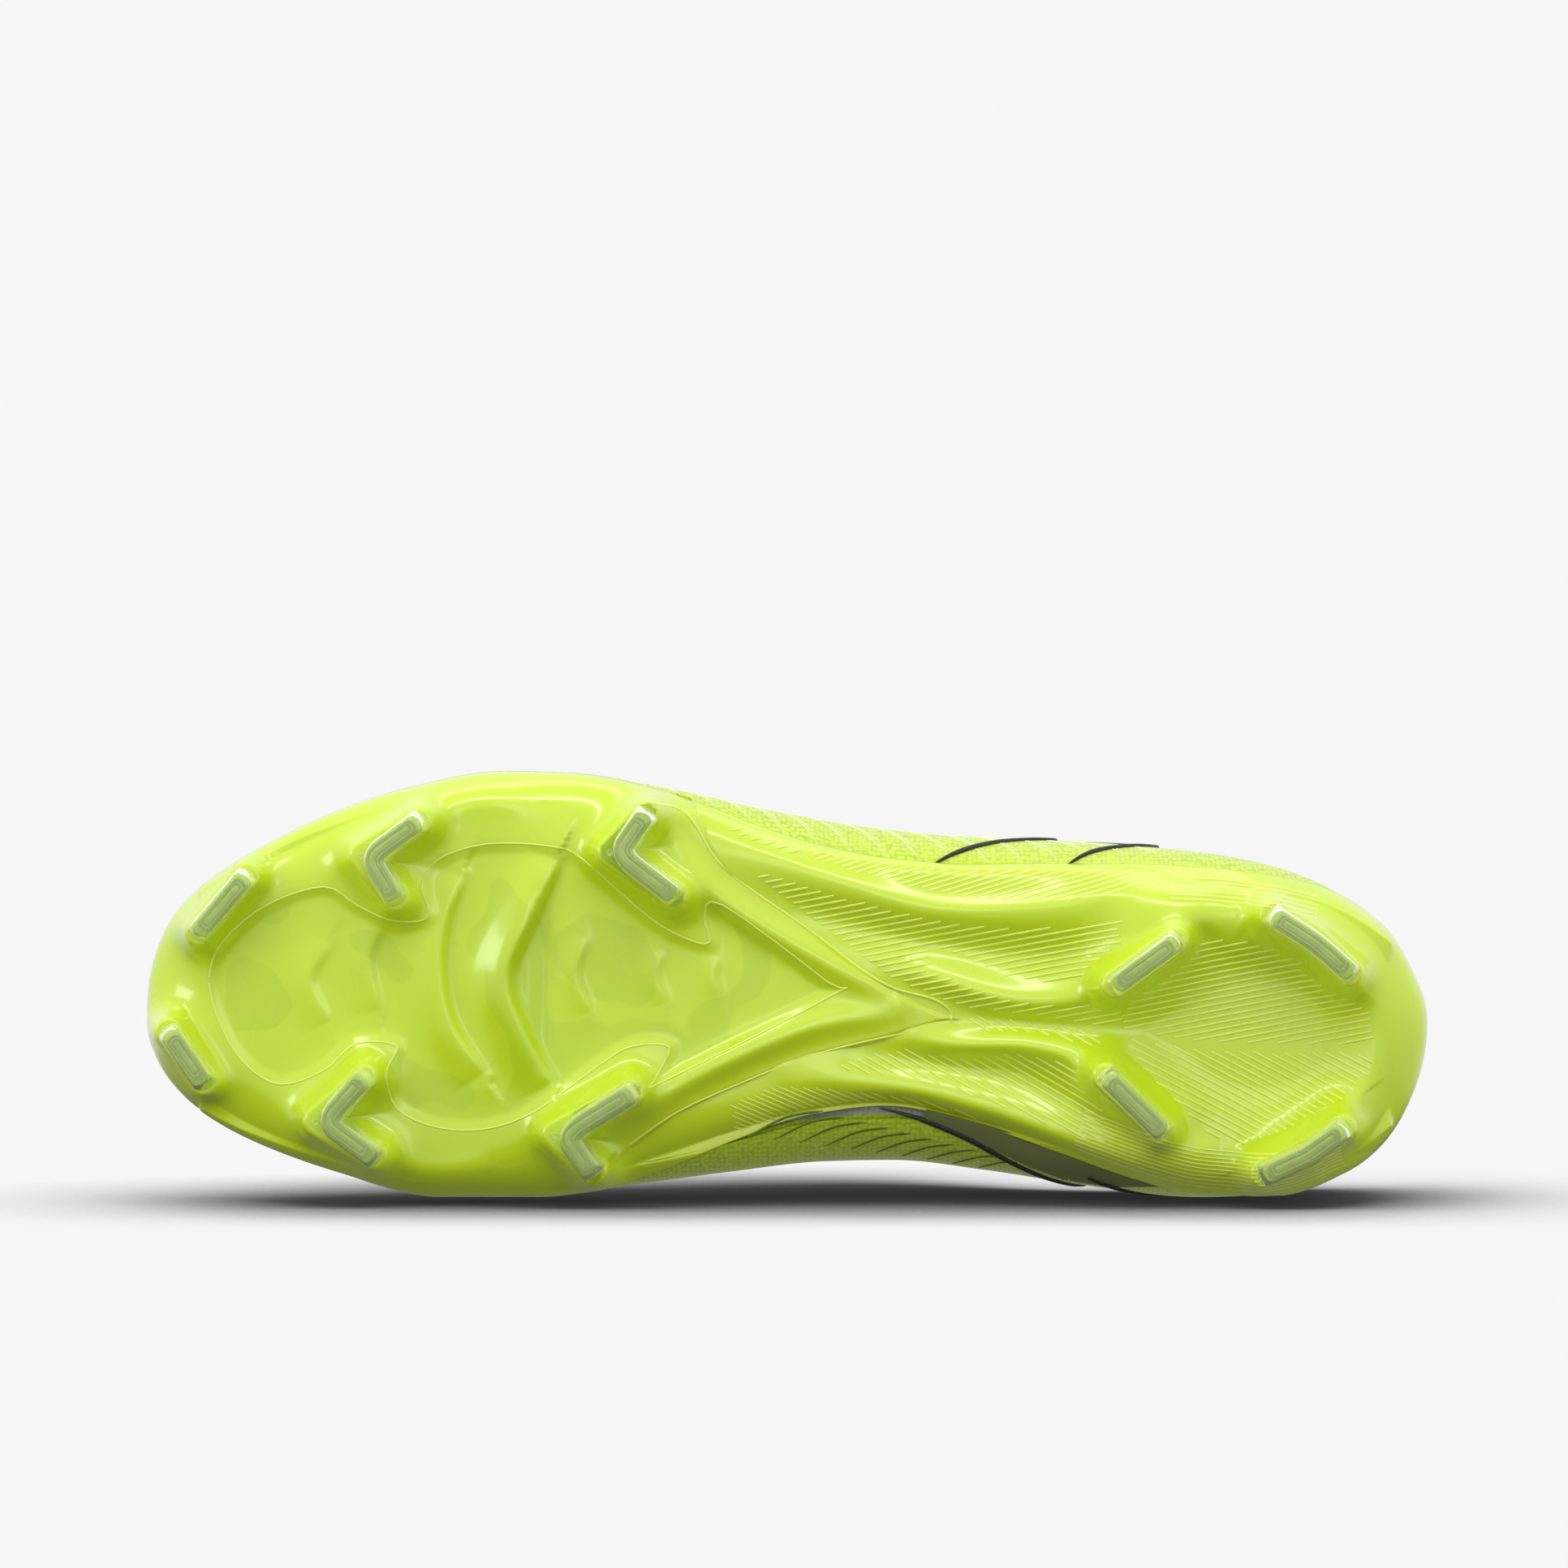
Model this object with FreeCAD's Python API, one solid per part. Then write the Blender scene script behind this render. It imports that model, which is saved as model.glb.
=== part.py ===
"""Left soccer cleat for firm ground, about men's US 9, as an assembly of separate pieces.

Frame: millimetres, X towards the toe, Y towards the outer (lateral) side, Z up.
Z = 0 is the ground under the stud tips, and the origin is the middle of the footprint.
"""
import FreeCAD, Part
import math
import os

Vector = FreeCAD.Vector

# ---------------------------------------------------------------- driving dimensions
HALF_LENGTH = 141.0
OUTLINE_LATERAL = [(141, -4.7), (138.4, 8.6), (133, 17.3), (119, 28), (104, 36), (83, 43.3), (62, 46.9),
                   (47, 46.5), (26, 43.1), (5, 38.5), (-17, 34.6), (-38, 32.4), (-66, 31), (-95, 28.5),
                   (-116, 23.2), (-131, 13), (-138, 2), (-141, -9)]
OUTLINE_MEDIAL = [(141, -4.7), (138.4, -17.5), (133, -24.6), (119, -34.2), (97, -42.2), (76, -47.2),
                  (55, -47.2), (33, -44.5), (12, -41.9), (-9, -39.9), (-24, -39.7), (-45, -42),
                  (-66, -45.2), (-91, -47.7), (-109, -46.9), (-123.5, -41.9), (-131, -35.8),
                  (-138, -24), (-141, -9)]
RIDGE_Y = [(-141, -9), (-95, -9.6), (-59, -6.4), (-22, -3), (0, -1.5), (54, -1), (100, -3), (141, -4.7)]
SOLE_Z = [(-150, 19), (-141, 17), (-120, 13.6), (-90, 13), (-40, 15.5), (0, 13.5), (30, 12), (60, 12),
          (90, 13.4), (110, 15.4), (125, 18), (141, 23), (150, 26.5)]
WIDEST_Z = [(-141, 34), (-100, 32), (-60, 36), (-22, 36), (20, 28), (54, 25), (90, 25), (120, 27), (141, 29)]
RIDGE_Z = [(-150, 132), (-90, 128), (-60, 120), (-40, 109), (-20, 97), (0, 86), (25, 76), (50, 68),
           (75, 61.5), (100, 56), (120, 50), (132, 43.5), (138, 37), (141, 30.5)]
UNDERCUT = [(-141, 1.35), (-95, 1.3), (-40, 1.1), (-10, 1.12), (40, 1.4), (141, 1.44)]
HEEL_LEAN = [(0, 9), (14, 6), (22, 2), (32, 0), (50, 1.5), (65, 4.5), (78, 6), (95, 5), (120, 4)]
TOE_TUCK = [(0, 16), (16, 12), (22, 6), (26, 2), (30, 0)]
TOPLINE_Z = [(-150, 72), (-136, 72), (-122, 69), (-100, 60.5), (-78, 58.5), (-60, 63), (-45, 73),
             (-34, 84), (-24, 95), (-10, 112), (5, 140)]
PLATE_EDGE_Z = [(-150, 33), (-141, 32), (-120, 28), (-90, 24.5), (-50, 22), (-20, 21), (10, 22),
                (40, 24), (90, 25), (120, 28), (141, 33), (150, 35)]

PLATE_THICKNESS = 2.4
PLATE_WALL = 0.8
UPPER_THICKNESS = 1.6
CUSHION_THICKNESS = 3.0
CUSHION_INSET = -4.6
STROBEL_THICKNESS = 1.2
STROBEL_INSET = -2.0
SOCK_FOAM = 3.2
SOCK_COVER = 0.6
FIT_GAP = 0.1
LINING_THICKNESS = 0.8
COUNTER_THICKNESS = 1.2
PADDING_THICKNESS = 3.0
BINDING_HEIGHT = 3.0
BINDING_PROUD = 0.5

# where the inner pieces start and end, seen from the side
AIR_UNIT_X = (-74.0, 116.0)
HEEL_PAD_X = (-130.0, -76.0)
TOE_PUFF_REAR_X = 112.0
COUNTER_FRONT_X = -82.0
COUNTER_TOP_Z = 50.0
COLLAR_FRONT_X = -48.0
COLLAR_LOW_Z = 51.0
BINDING_FRONT_X = -34.0
ANCHOR_THICKNESS = 0.8
ANCHOR_LOW_Z = 46.0
ANCHOR_HIGH_Z = 68.0

FLEX_REAR_X = 57.0
FLEX_FRONT_X = 76.0
FLEX_FRONT_LEAN = 20.0
FLEX_LEAN_HEIGHT = 48.0

THROAT_FRONT_X = 48.0
THROAT_BACK_X = -60.0
THROAT_HALF_WIDTH = 11.0
EYESTAY_WIDTH = 13.0
EYESTAY_THICKNESS = 0.9
EYESTAY_BACK_X = -18.0
EYESTAY_FRONT_X = 47.0
EYESTAY_OVERLAP = 4.0
EYESTAY_LOW_Z = 40.0
EYELET_STATIONS = [40.0, 28.5, 17.0, 5.5, -6.0, -16.0]
EYELET_RADIUS = 3.0
EYELET_HOLE_RADIUS = 1.9
EYELET_HEIGHT = 1.2
LACE_WIDTH = 5.0
LACE_THICKNESS = 1.2

TONGUE_DEPTH = 2.0
TONGUE_THICKNESS = 2.6
TONGUE_HALF_WIDTH = 22.0
TONGUE_HINGE_X = -25.0
TONGUE_BACK_X = -47.0
TONGUE_FRONT_X = 54.0
TONGUE_LOW_Z = 50.0
TONGUE_TOP_Z = 104.0

TAB_WIDTH = 14.0
TAB_HEIGHT = 19.0
TAB_DEPTH = 7.6
TAB_WALL = 1.3
TAB_BASE_Z = 72.3
TAB_BACK_X = -138.6

TAIL_POINTS = [(66, 60), (19, 38), (12, 25), (-6, 12), (-22, 0), (-38.5, -7.5), (-24, -12), (-6, -16.5),
               (12, -23.5), (24, -29), (40, -48), (66, -60)]

TIP_HEIGHT = 4.6
STUD_HALF_WIDTH = 2.7
STUD_DRAFT = 0.26
STUD_ROOT = 6.0
OUTLINE_STEPS = 36
# name, line of the stud's crest from end to end, height of the tip over the ground
STUDS = [
    ("toe_lateral", [(128.2, 11.5), (117.8, 23.6)], 7.6),
    ("toe_medial", [(136.0, -10.5), (128.0, -22.2)], 10.4),
    ("front_lateral", [(79.6, 35.8), (92.0, 28.2), (84.8, 19.2)], 1.6),
    ("front_medial", [(91.6, -20.0), (102.0, -29.6), (89.6, -37.0)], 2.2),
    ("rear_lateral", [(30.2, 37.2), (38.0, 29.0), (24.2, 19.8)], 0.0),
    ("rear_medial", [(33.4, -23.2), (50.0, -32.4), (41.8, -40.2)], 0.0),
    ("heel_front_lateral", [(-71.8, 0.2), (-85.0, 9.8)], 0.0),
    ("heel_front_medial", [(-70.0, -19.6), (-82.0, -31.4)], 0.0),
    ("heel_rear_lateral", [(-106.2, 15.2), (-115.4, 9.6), (-122.8, 2.8)], 0.0),
    ("heel_rear_medial", [(-104.2, -40.8), (-113.6, -36.8), (-121.2, -31.0)], 0.0),
]

# side cords, each through its (x, z) points on the side of the shoe, from the plate to its upper end
CORDS_LATERAL = [[(-32, 24), (-45, 30), (-56, 39), (-54, 51), (-42, 64)],
                 [(-62, 25), (-72, 30), (-81, 37), (-79, 46), (-68, 54)]]
CORDS_MEDIAL = [[(-24, 24), (-44, 28), (-62, 36), (-66, 47), (-56, 60)],
                [(-70, 27), (-80, 32), (-88, 39), (-86, 47), (-76, 53)]]
CORD_WIDTH = 1.8
CORD_THICKNESS = 0.7


# ---------------------------------------------------------------- curves and surface of the shoe
def smooth_curve(points):
    """A monotone cubic through points given in rising or falling x."""
    points = sorted(points)
    xs = [p[0] for p in points]
    ys = [p[1] for p in points]
    slopes = [(ys[i + 1] - ys[i]) / (xs[i + 1] - xs[i]) for i in range(len(xs) - 1)]
    tangents = [slopes[0]]
    for before, after in zip(slopes, slopes[1:]):
        tangents.append(0.0 if before * after <= 0 else 2 * before * after / (before + after))
    tangents.append(slopes[-1])

    def value(x):
        x = min(max(x, xs[0]), xs[-1])
        i = max(k for k in range(len(xs) - 1) if xs[k] <= x)
        step = xs[i + 1] - xs[i]
        t = (x - xs[i]) / step
        rise = (3 - 2 * t) * t * t
        return (ys[i] * (1 - rise) + ys[i + 1] * rise
                + step * t * (1 - t) * ((1 - t) * tangents[i] - t * tangents[i + 1]))

    return value


def outline_curve(points):
    """One side of the plan outline, smooth round both ends, as y of x."""
    angle = smooth_curve([(math.acos(-x / HALF_LENGTH), y) for x, y in points])
    return lambda x: angle(math.acos(-min(max(x, -HALF_LENGTH), HALF_LENGTH) / HALF_LENGTH))


lateral_y = outline_curve(OUTLINE_LATERAL)
medial_y = outline_curve(OUTLINE_MEDIAL)
ridge_y = smooth_curve(RIDGE_Y)
sole_z = smooth_curve(SOLE_Z)
widest_z = smooth_curve(WIDEST_Z)
ridge_z = smooth_curve(RIDGE_Z)
undercut = smooth_curve(UNDERCUT)
heel_lean = smooth_curve(HEEL_LEAN)
toe_tuck = smooth_curve(TOE_TUCK)
topline_z = smooth_curve(TOPLINE_Z)
plate_edge_z = smooth_curve(PLATE_EDGE_Z)

CROWN_POWER = 2.2
BELLY_POWER = 2.4
LEAN_START_X = -50.0
TUCK_START_X = 60.0


def side_width(x, z, side, grow):
    """Distance from the ridge line to the side wall at (x, z); side is +1 lateral or -1 medial."""
    lean = heel_lean(z) * max(0.0, (LEAN_START_X - x) / (HALF_LENGTH + LEAN_START_X))
    tuck = toe_tuck(z) * max(0.0, (x - TUCK_START_X) / (HALF_LENGTH - TUCK_START_X))
    along = (x - lean + tuck) * HALF_LENGTH / (HALF_LENGTH + grow)
    edge = lateral_y(along) if side > 0 else medial_y(along)
    width = abs(edge - ridge_y(along))
    width += grow * min(1.0, width / 8.0)
    wide = widest_z(along)
    if z >= wide:
        share = min(1.0, (z - wide) / max(1.0, ridge_z(along) + grow - wide))
        return width * math.sqrt(max(0.0, 1 - share ** CROWN_POWER))
    depth = (wide - sole_z(along) + grow) * undercut(along)
    share = min(0.92, (wide - z) / max(4.0, depth))
    return width * (1 - share ** BELLY_POWER) ** (1 / BELLY_POWER)


def surface_point(x, z, side, grow):
    return Vector(x, ridge_y(x) + side * side_width(x, z, side, grow), z)


def roof_z(x, y, grow):
    """Height of the upper's outer face over (x, y)."""
    side = 1 if y >= ridge_y(x) else -1
    edge = lateral_y(x) if side > 0 else medial_y(x)
    share = min(1.0, abs(y - ridge_y(x)) / abs(edge - ridge_y(x)))
    wide = widest_z(x)
    return wide + (ridge_z(x) + grow - wide) * (1 - share ** 2) ** (1 / CROWN_POWER)


SLICE_LEVELS = [8, 11, 14, 17, 20, 24, 28, 34, 41, 48, 55, 62, 70, 79, 89, 100, 111]
SIDE_STEPS = 12


def slice_ends(z, grow):
    """Where the horizontal slice at z starts and ends along X."""
    stretch = (HALF_LENGTH + grow) / HALF_LENGTH
    back = -HALF_LENGTH * stretch + heel_lean(z)
    front = HALF_LENGTH * stretch - toe_tuck(z)
    low, high = -HALF_LENGTH, front
    if ridge_z(front / stretch) + grow <= z:
        for _ in range(40):
            middle = (low + high) / 2
            if ridge_z(middle / stretch) + grow > z:
                low = middle
            else:
                high = middle
        front = low
    return back, front


def slice_wire(z, grow):
    back, front = slice_ends(z, grow)
    centre, reach = (back + front) / 2, (front - back) / 2
    points = []
    for side, steps in ((1, range(0, SIDE_STEPS)), (-1, range(SIDE_STEPS, 0, -1))):
        for step in steps:
            x = centre - reach * math.cos(math.pi * step / SIDE_STEPS)
            wall = 0.0 if step in (0, SIDE_STEPS) else side_width(x, z, side, grow)
            points.append(Vector(x, ridge_y(x) + side * wall, z))
    curve = Part.BSplineCurve()
    curve.interpolate(Points=points, PeriodicFlag=True, Parameters=[float(i) for i in range(len(points) + 1)])
    return Part.Wire([curve.toShape()])


BODIES = {}


def shoe_body(grow):
    """The closed shoe volume, offset by grow, reaching past the sole and past the topline."""
    if grow not in BODIES:
        BODIES[grow] = Part.makeLoft([slice_wire(z, grow) for z in SLICE_LEVELS], True, False)
    return BODIES[grow]


def shell(outer_grow, inner_grow, *zones):
    """The skin between two offsets of the shoe, kept within every one of the zones."""
    zone = zones[0]
    for other in zones[1:]:
        zone = zone.common(other)
    return shoe_body(outer_grow).common(zone).cut(shoe_body(inner_grow))


# half sizes of the blocks that cut the shoe, all larger than the shoe itself
REACH = 90.0
REACH_X = 160.0
TOP_Z = 130.0
SOLE_ROOM = (-60.0, 60.0, 0.0, 60.0)
CURVE_STEPS = 30


def side_region(height, shift, upwards):
    """All that lies over (or under) the side-view curve height(x) + shift."""
    xs = [-148 + 296 * i / CURVE_STEPS for i in range(CURVE_STEPS + 1)]
    points = [Vector(x, -REACH, height(x) + shift) for x in xs]
    curve = Part.BSplineCurve()
    curve.interpolate(points)
    far = 220.0 if upwards else -60.0
    corners = [points[-1], Vector(xs[-1], -REACH, far), Vector(xs[0], -REACH, far), points[0]]
    edges = [curve.toShape()] + [Part.LineSegment(a, b).toShape() for a, b in zip(corners, corners[1:])]
    return Part.Face(Part.Wire(edges)).extrude(Vector(0, 2 * REACH, 0))


def over(height, shift=0.0):
    return side_region(height, shift, True)


def under(height, shift=0.0):
    return side_region(height, shift, False)


def prism_xy(points):
    wire = Part.makePolygon([Vector(x, y, -20) for x, y in points + points[:1]])
    return Part.Face(wire).extrude(Vector(0, 0, 180))


def prism_xz(points):
    wire = Part.makePolygon([Vector(x, -REACH, z) for x, z in points + points[:1]])
    return Part.Face(wire).extrude(Vector(0, 2 * REACH, 0))


def block(x0, x1, y0, y1, z0, z1):
    return Part.makeBox(x1 - x0, y1 - y0, z1 - z0, Vector(x0, y0, z0))


def largest(shape):
    return max(shape.Solids, key=lambda s: s.Volume)


# ---------------------------------------------------------------- zones of the forefoot flex
def flex_front_x(z):
    return FLEX_FRONT_X + FLEX_FRONT_LEAN * (z - 12.0) / FLEX_LEAN_HEIGHT


FRONT_ZONE = prism_xz([(flex_front_x(0), 0), (200, 0), (200, 130), (flex_front_x(130), 130)])
FLEX_ZONE = prism_xz([(FLEX_REAR_X, 0), (flex_front_x(0), 0), (flex_front_x(130), 130), (FLEX_REAR_X, 130)])
REAR_ZONE = prism_xz([(-200, 0), (FLEX_REAR_X, 0), (FLEX_REAR_X, 130), (-200, 130)])


# ---------------------------------------------------------------- sole plates and studs
def offset_line(line, half_width, end_extra):
    """The outline of a stud of the given half width round its crest line."""
    vectors = [Vector(x, y, 0) for x, y in line]
    start = (vectors[0] - vectors[1]).normalize()
    end = (vectors[-1] - vectors[-2]).normalize()
    vectors[0] = vectors[0] + start * end_extra
    vectors[-1] = vectors[-1] + end * end_extra
    left, right = [], []
    for i, v in enumerate(vectors):
        before = (v - vectors[i - 1]).normalize() if i else (vectors[1] - v).normalize()
        after = (vectors[i + 1] - v).normalize() if i + 1 < len(vectors) else before
        normal = Vector(-(before.y + after.y), before.x + after.x, 0).normalize()
        spread = half_width / max(0.5, normal.dot(Vector(-before.y, before.x, 0)))
        left.append(v + normal * spread)
        right.append(v - normal * spread)
    return left + right[::-1]


def stud_block(line, z_low, z_high, tip_z):
    """A drafted stud between two heights: it widens upwards, from its tip to the plate."""
    wires = []
    for z in (z_low, z_high):
        growth = STUD_DRAFT * (z - tip_z)
        corners = offset_line(line, STUD_HALF_WIDTH + growth, growth)
        corners = [Vector(c.x, c.y, z) for c in corners]
        wires.append(Part.makePolygon(corners + corners[:1]))
    return Part.makeLoft(wires, True, True)


def footprint():
    """The plan outline of the whole sole as an upright prism."""
    steps = range(1, OUTLINE_STEPS)
    xs = [-HALF_LENGTH * math.cos(math.pi * i / OUTLINE_STEPS) for i in steps]
    return prism_xy([(x, lateral_y(x)) for x in xs] + [(x, medial_y(x)) for x in reversed(xs)])


def stud_base(line, tip_z, room):
    """The moulded foot of a stud, from its tip up into the plate, within the room given."""
    centre_x = sum(p[0] for p in line) / len(line)
    top = sole_z(centre_x) + STUD_ROOT
    return stud_block(line, tip_z + TIP_HEIGHT, top, tip_z).common(room)


def stud_tip(line, tip_z):
    return stud_block(line, tip_z, tip_z + TIP_HEIGHT, tip_z)


def sole_plates():
    """The forefoot plate in its three zones, and the heel chassis, with their stud bases."""
    core = shoe_body(0.0).common(over(sole_z, PLATE_THICKNESS))
    tray = shoe_body(PLATE_WALL).common(over(sole_z).common(under(plate_edge_z)))
    tray = largest(tray.cut(core))
    room = footprint().common(under(sole_z, PLATE_THICKNESS))
    for _, line, tip_z in STUDS:
        tray = tray.fuse(stud_base(line, tip_z, room))
    tail_prism = prism_xy(TAIL_POINTS)
    rear = tray.common(REAR_ZONE)
    return {
        "forefoot_plate": largest(tray.common(FRONT_ZONE)),
        "forefoot_plate_flex_zone": largest(tray.common(FLEX_ZONE)),
        "forefoot_plate_tail": largest(rear.common(tail_prism)),
        "heel_chassis": largest(rear.cut(tail_prism)),
    }


# ---------------------------------------------------------------- layers inside the shoe
def layer(grow, low, high, zone):
    """A slice of the inside that follows the sole between two heights over it."""
    return largest(shoe_body(grow).common(over(sole_z, low).common(under(sole_z, high)).common(zone)))


def inner_layers():
    inside = -UPPER_THICKNESS - FIT_GAP
    cushion_low = PLATE_THICKNESS + FIT_GAP
    strobel_low = cushion_low + CUSHION_THICKNESS + FIT_GAP
    foam_low = strobel_low + STROBEL_THICKNESS
    cover_low = foam_low + SOCK_FOAM
    cushion_high = cushion_low + CUSHION_THICKNESS
    everywhere = block(-REACH_X, REACH_X, *SOLE_ROOM)
    return {
        "air_unit": layer(CUSHION_INSET, cushion_low, cushion_high, block(*AIR_UNIT_X, *SOLE_ROOM)),
        "heel_pad": layer(CUSHION_INSET, cushion_low, cushion_high, block(*HEEL_PAD_X, *SOLE_ROOM)),
        "strobel_board": layer(STROBEL_INSET, strobel_low, foam_low, everywhere),
        "sockliner_foam": layer(inside, foam_low, cover_low, everywhere),
        "sockliner_cover": layer(inside, cover_low, cover_low + SOCK_COVER, everywhere),
    }


SOCK_TOP = (PLATE_THICKNESS + 2 * FIT_GAP + CUSHION_THICKNESS + STROBEL_THICKNESS + SOCK_FOAM + SOCK_COVER)


# ---------------------------------------------------------------- upper
def throat_prism(half_width, front_x, back_x):
    """Plan shape of the lacing slot, with a round front end, following the ridge line."""
    xs = [back_x + (front_x - half_width - back_x) * i / 6 for i in range(7)]
    left = [(x, ridge_y(x) + half_width) for x in xs]
    right = [(x, ridge_y(x) - half_width) for x in xs]
    turn = [math.pi / 2 - math.pi * i / 8 for i in range(1, 8)]
    nose_x = front_x - half_width
    nose = [(nose_x + half_width * math.cos(a), ridge_y(nose_x) + half_width * math.sin(a)) for a in turn]
    return prism_xy(left + nose + right[::-1])


def half_space(side, shift=0.0):
    """Everything on one side of the ridge line, seen from above."""
    xs = [-160 + 320 * i / 16 for i in range(17)]
    inner = [(x, ridge_y(x) + side * shift) for x in xs]
    return prism_xy(inner + [(160, side * REACH), (-160, side * REACH)])


def upper_pieces():
    wall_zone = over(sole_z, PLATE_THICKNESS + FIT_GAP).common(under(topline_z, -BINDING_HEIGHT))
    wall_zone = wall_zone.cut(throat_prism(THROAT_HALF_WIDTH, THROAT_FRONT_X, THROAT_BACK_X))
    rear = shell(0.0, -UPPER_THICKNESS, wall_zone, REAR_ZONE)
    return {
        "vamp": largest(shell(0.0, -UPPER_THICKNESS, wall_zone, FRONT_ZONE)),
        "vamp_flex_zone": largest(shell(0.0, -UPPER_THICKNESS, wall_zone, FLEX_ZONE)),
        "quarter_lateral": largest(rear.common(half_space(1))),
        "quarter_medial": largest(rear.common(half_space(-1))),
    }


def heel_and_collar():
    inner_face = -UPPER_THICKNESS - FIT_GAP
    counter_face = inner_face - COUNTER_THICKNESS
    padding_face = inner_face - PADDING_THICKNESS
    floor = over(sole_z, SOCK_TOP + FIT_GAP)
    below_binding = under(topline_z, -BINDING_HEIGHT)
    binding_room = over(topline_z, FIT_GAP - BINDING_HEIGHT)
    low_zone = block(-REACH_X, COUNTER_FRONT_X, -REACH, REACH, 0, COUNTER_TOP_Z).common(floor)
    toe_zone = block(TOE_PUFF_REAR_X, REACH_X, -REACH, REACH, 0, TOP_Z).common(floor)
    collar_zone = block(-REACH_X, COLLAR_FRONT_X, -REACH, REACH, COLLAR_LOW_Z, TOP_Z).common(below_binding)
    rim_zone = block(-REACH_X, BINDING_FRONT_X, -REACH, REACH, 0, TOP_Z).common(binding_room)
    padding = shell(inner_face, padding_face, collar_zone)
    return {
        "toe_puff": largest(shell(inner_face, counter_face, toe_zone)),
        "heel_counter": largest(shell(inner_face, counter_face, low_zone)),
        "heel_lining": largest(shell(counter_face, counter_face - LINING_THICKNESS, low_zone)),
        "collar_padding_lateral": largest(padding.common(half_space(1, FIT_GAP))),
        "collar_padding_medial": largest(padding.common(half_space(-1, FIT_GAP))),
        "collar_lining": largest(shell(padding_face, padding_face - LINING_THICKNESS, collar_zone)),
        "collar_binding": largest(shell(BINDING_PROUD, padding_face, rim_zone, under(topline_z))),
    }


def eyestays():
    zone = throat_prism(THROAT_HALF_WIDTH + EYESTAY_WIDTH, THROAT_FRONT_X + EYESTAY_OVERLAP, EYESTAY_BACK_X)
    zone = zone.cut(throat_prism(THROAT_HALF_WIDTH, THROAT_FRONT_X, THROAT_BACK_X))
    zone = zone.common(block(EYESTAY_BACK_X, EYESTAY_FRONT_X, -REACH, REACH, EYESTAY_LOW_Z, TOP_Z))
    band = shell(EYESTAY_THICKNESS, 0.0, zone)
    return {
        "eyestay_lateral": largest(band.common(half_space(1))),
        "eyestay_medial": largest(band.common(half_space(-1))),
    }


def tongue_pieces():
    strip = throat_prism(TONGUE_HALF_WIDTH, TONGUE_FRONT_X, TONGUE_BACK_X)
    height = (TONGUE_LOW_Z, TONGUE_TOP_Z)
    lower_zone = strip.common(block(TONGUE_HINGE_X + FIT_GAP, TONGUE_FRONT_X, -REACH, REACH, *height))
    top_zone = strip.common(block(TONGUE_BACK_X, TONGUE_HINGE_X, -REACH, REACH, *height))
    inner_face = -TONGUE_DEPTH - TONGUE_THICKNESS
    return {
        "tongue": largest(shell(-TONGUE_DEPTH, inner_face, lower_zone)),
        "tongue_top": largest(shell(-TONGUE_DEPTH, inner_face, top_zone)),
    }


# ---------------------------------------------------------------- lacing and trim
def surface_normal(x, y):
    step = 0.5
    slope_x = (roof_z(x + step, y, 0) - roof_z(x - step, y, 0)) / (2 * step)
    slope_y = (roof_z(x, y + step, 0) - roof_z(x, y - step, 0)) / (2 * step)
    return Vector(-slope_x, -slope_y, 1).normalize()


def roof_point(x, y, lift):
    return Vector(x, y, roof_z(x, y, 0)) + surface_normal(x, y) * lift


def eyelet_y(side, x):
    return ridge_y(x) + side * (THROAT_HALF_WIDTH + EYESTAY_WIDTH / 2)


def eyelet_group(side):
    rings = []
    for x in EYELET_STATIONS:
        y = eyelet_y(side, x)
        normal = surface_normal(x, y)
        base = roof_point(x, y, EYESTAY_THICKNESS - 0.3)
        ring = Part.makeCylinder(EYELET_RADIUS, EYELET_HEIGHT, base, normal)
        rings.append(ring.cut(Part.makeCylinder(EYELET_HOLE_RADIUS, EYELET_HEIGHT, base, normal)))
    return Part.makeCompound(rings)


def strap(points, normals, width, thickness):
    """A flat band of straight stretches through points, lying against the given normals."""
    wires = []
    for i, (point, normal) in enumerate(zip(points, normals)):
        ahead = points[min(i + 1, len(points) - 1)] - points[max(i - 1, 0)]
        across = ahead.cross(normal).normalize() * (width / 2)
        rise = normal * thickness
        corners = [point - across, point + across, point + across + rise, point - across + rise]
        wires.append(Part.makePolygon(corners + corners[:1]))
    return Part.makeLoft(wires, True, True)


LACE_LIFT = EYESTAY_THICKNESS + EYELET_HEIGHT + 0.1
CROSSING_STEPS = 6


def lace_run(x_start, x_end, side):
    """One crossing of the lace, from an eyelet on one side to an eyelet on the other."""
    points, normals = [], []
    for i in range(CROSSING_STEPS + 1):
        share = i / CROSSING_STEPS
        x = x_start + (x_end - x_start) * share
        y = eyelet_y(side, x) * (1 - share) + eyelet_y(-side, x) * share
        hump = LACE_THICKNESS * 1.1 if side > 0 else 0.0
        lift = LACE_LIFT + hump * math.sin(math.pi * share)
        points.append(roof_point(x, y, lift))
        normals.append(surface_normal(x, y))
    return strap(points, normals, LACE_WIDTH, LACE_THICKNESS)


def lace():
    runs = [lace_run(EYELET_STATIONS[0], EYELET_STATIONS[0], 1)]
    for front_x, back_x in zip(EYELET_STATIONS, EYELET_STATIONS[1:]):
        runs.append(lace_run(front_x - 1.2, back_x + 1.2, -1))
        runs.append(lace_run(front_x - 1.2, back_x + 1.2, 1))
    joined = runs[0]
    for run in runs[1:]:
        joined = joined.fuse(run)
    return joined


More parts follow.
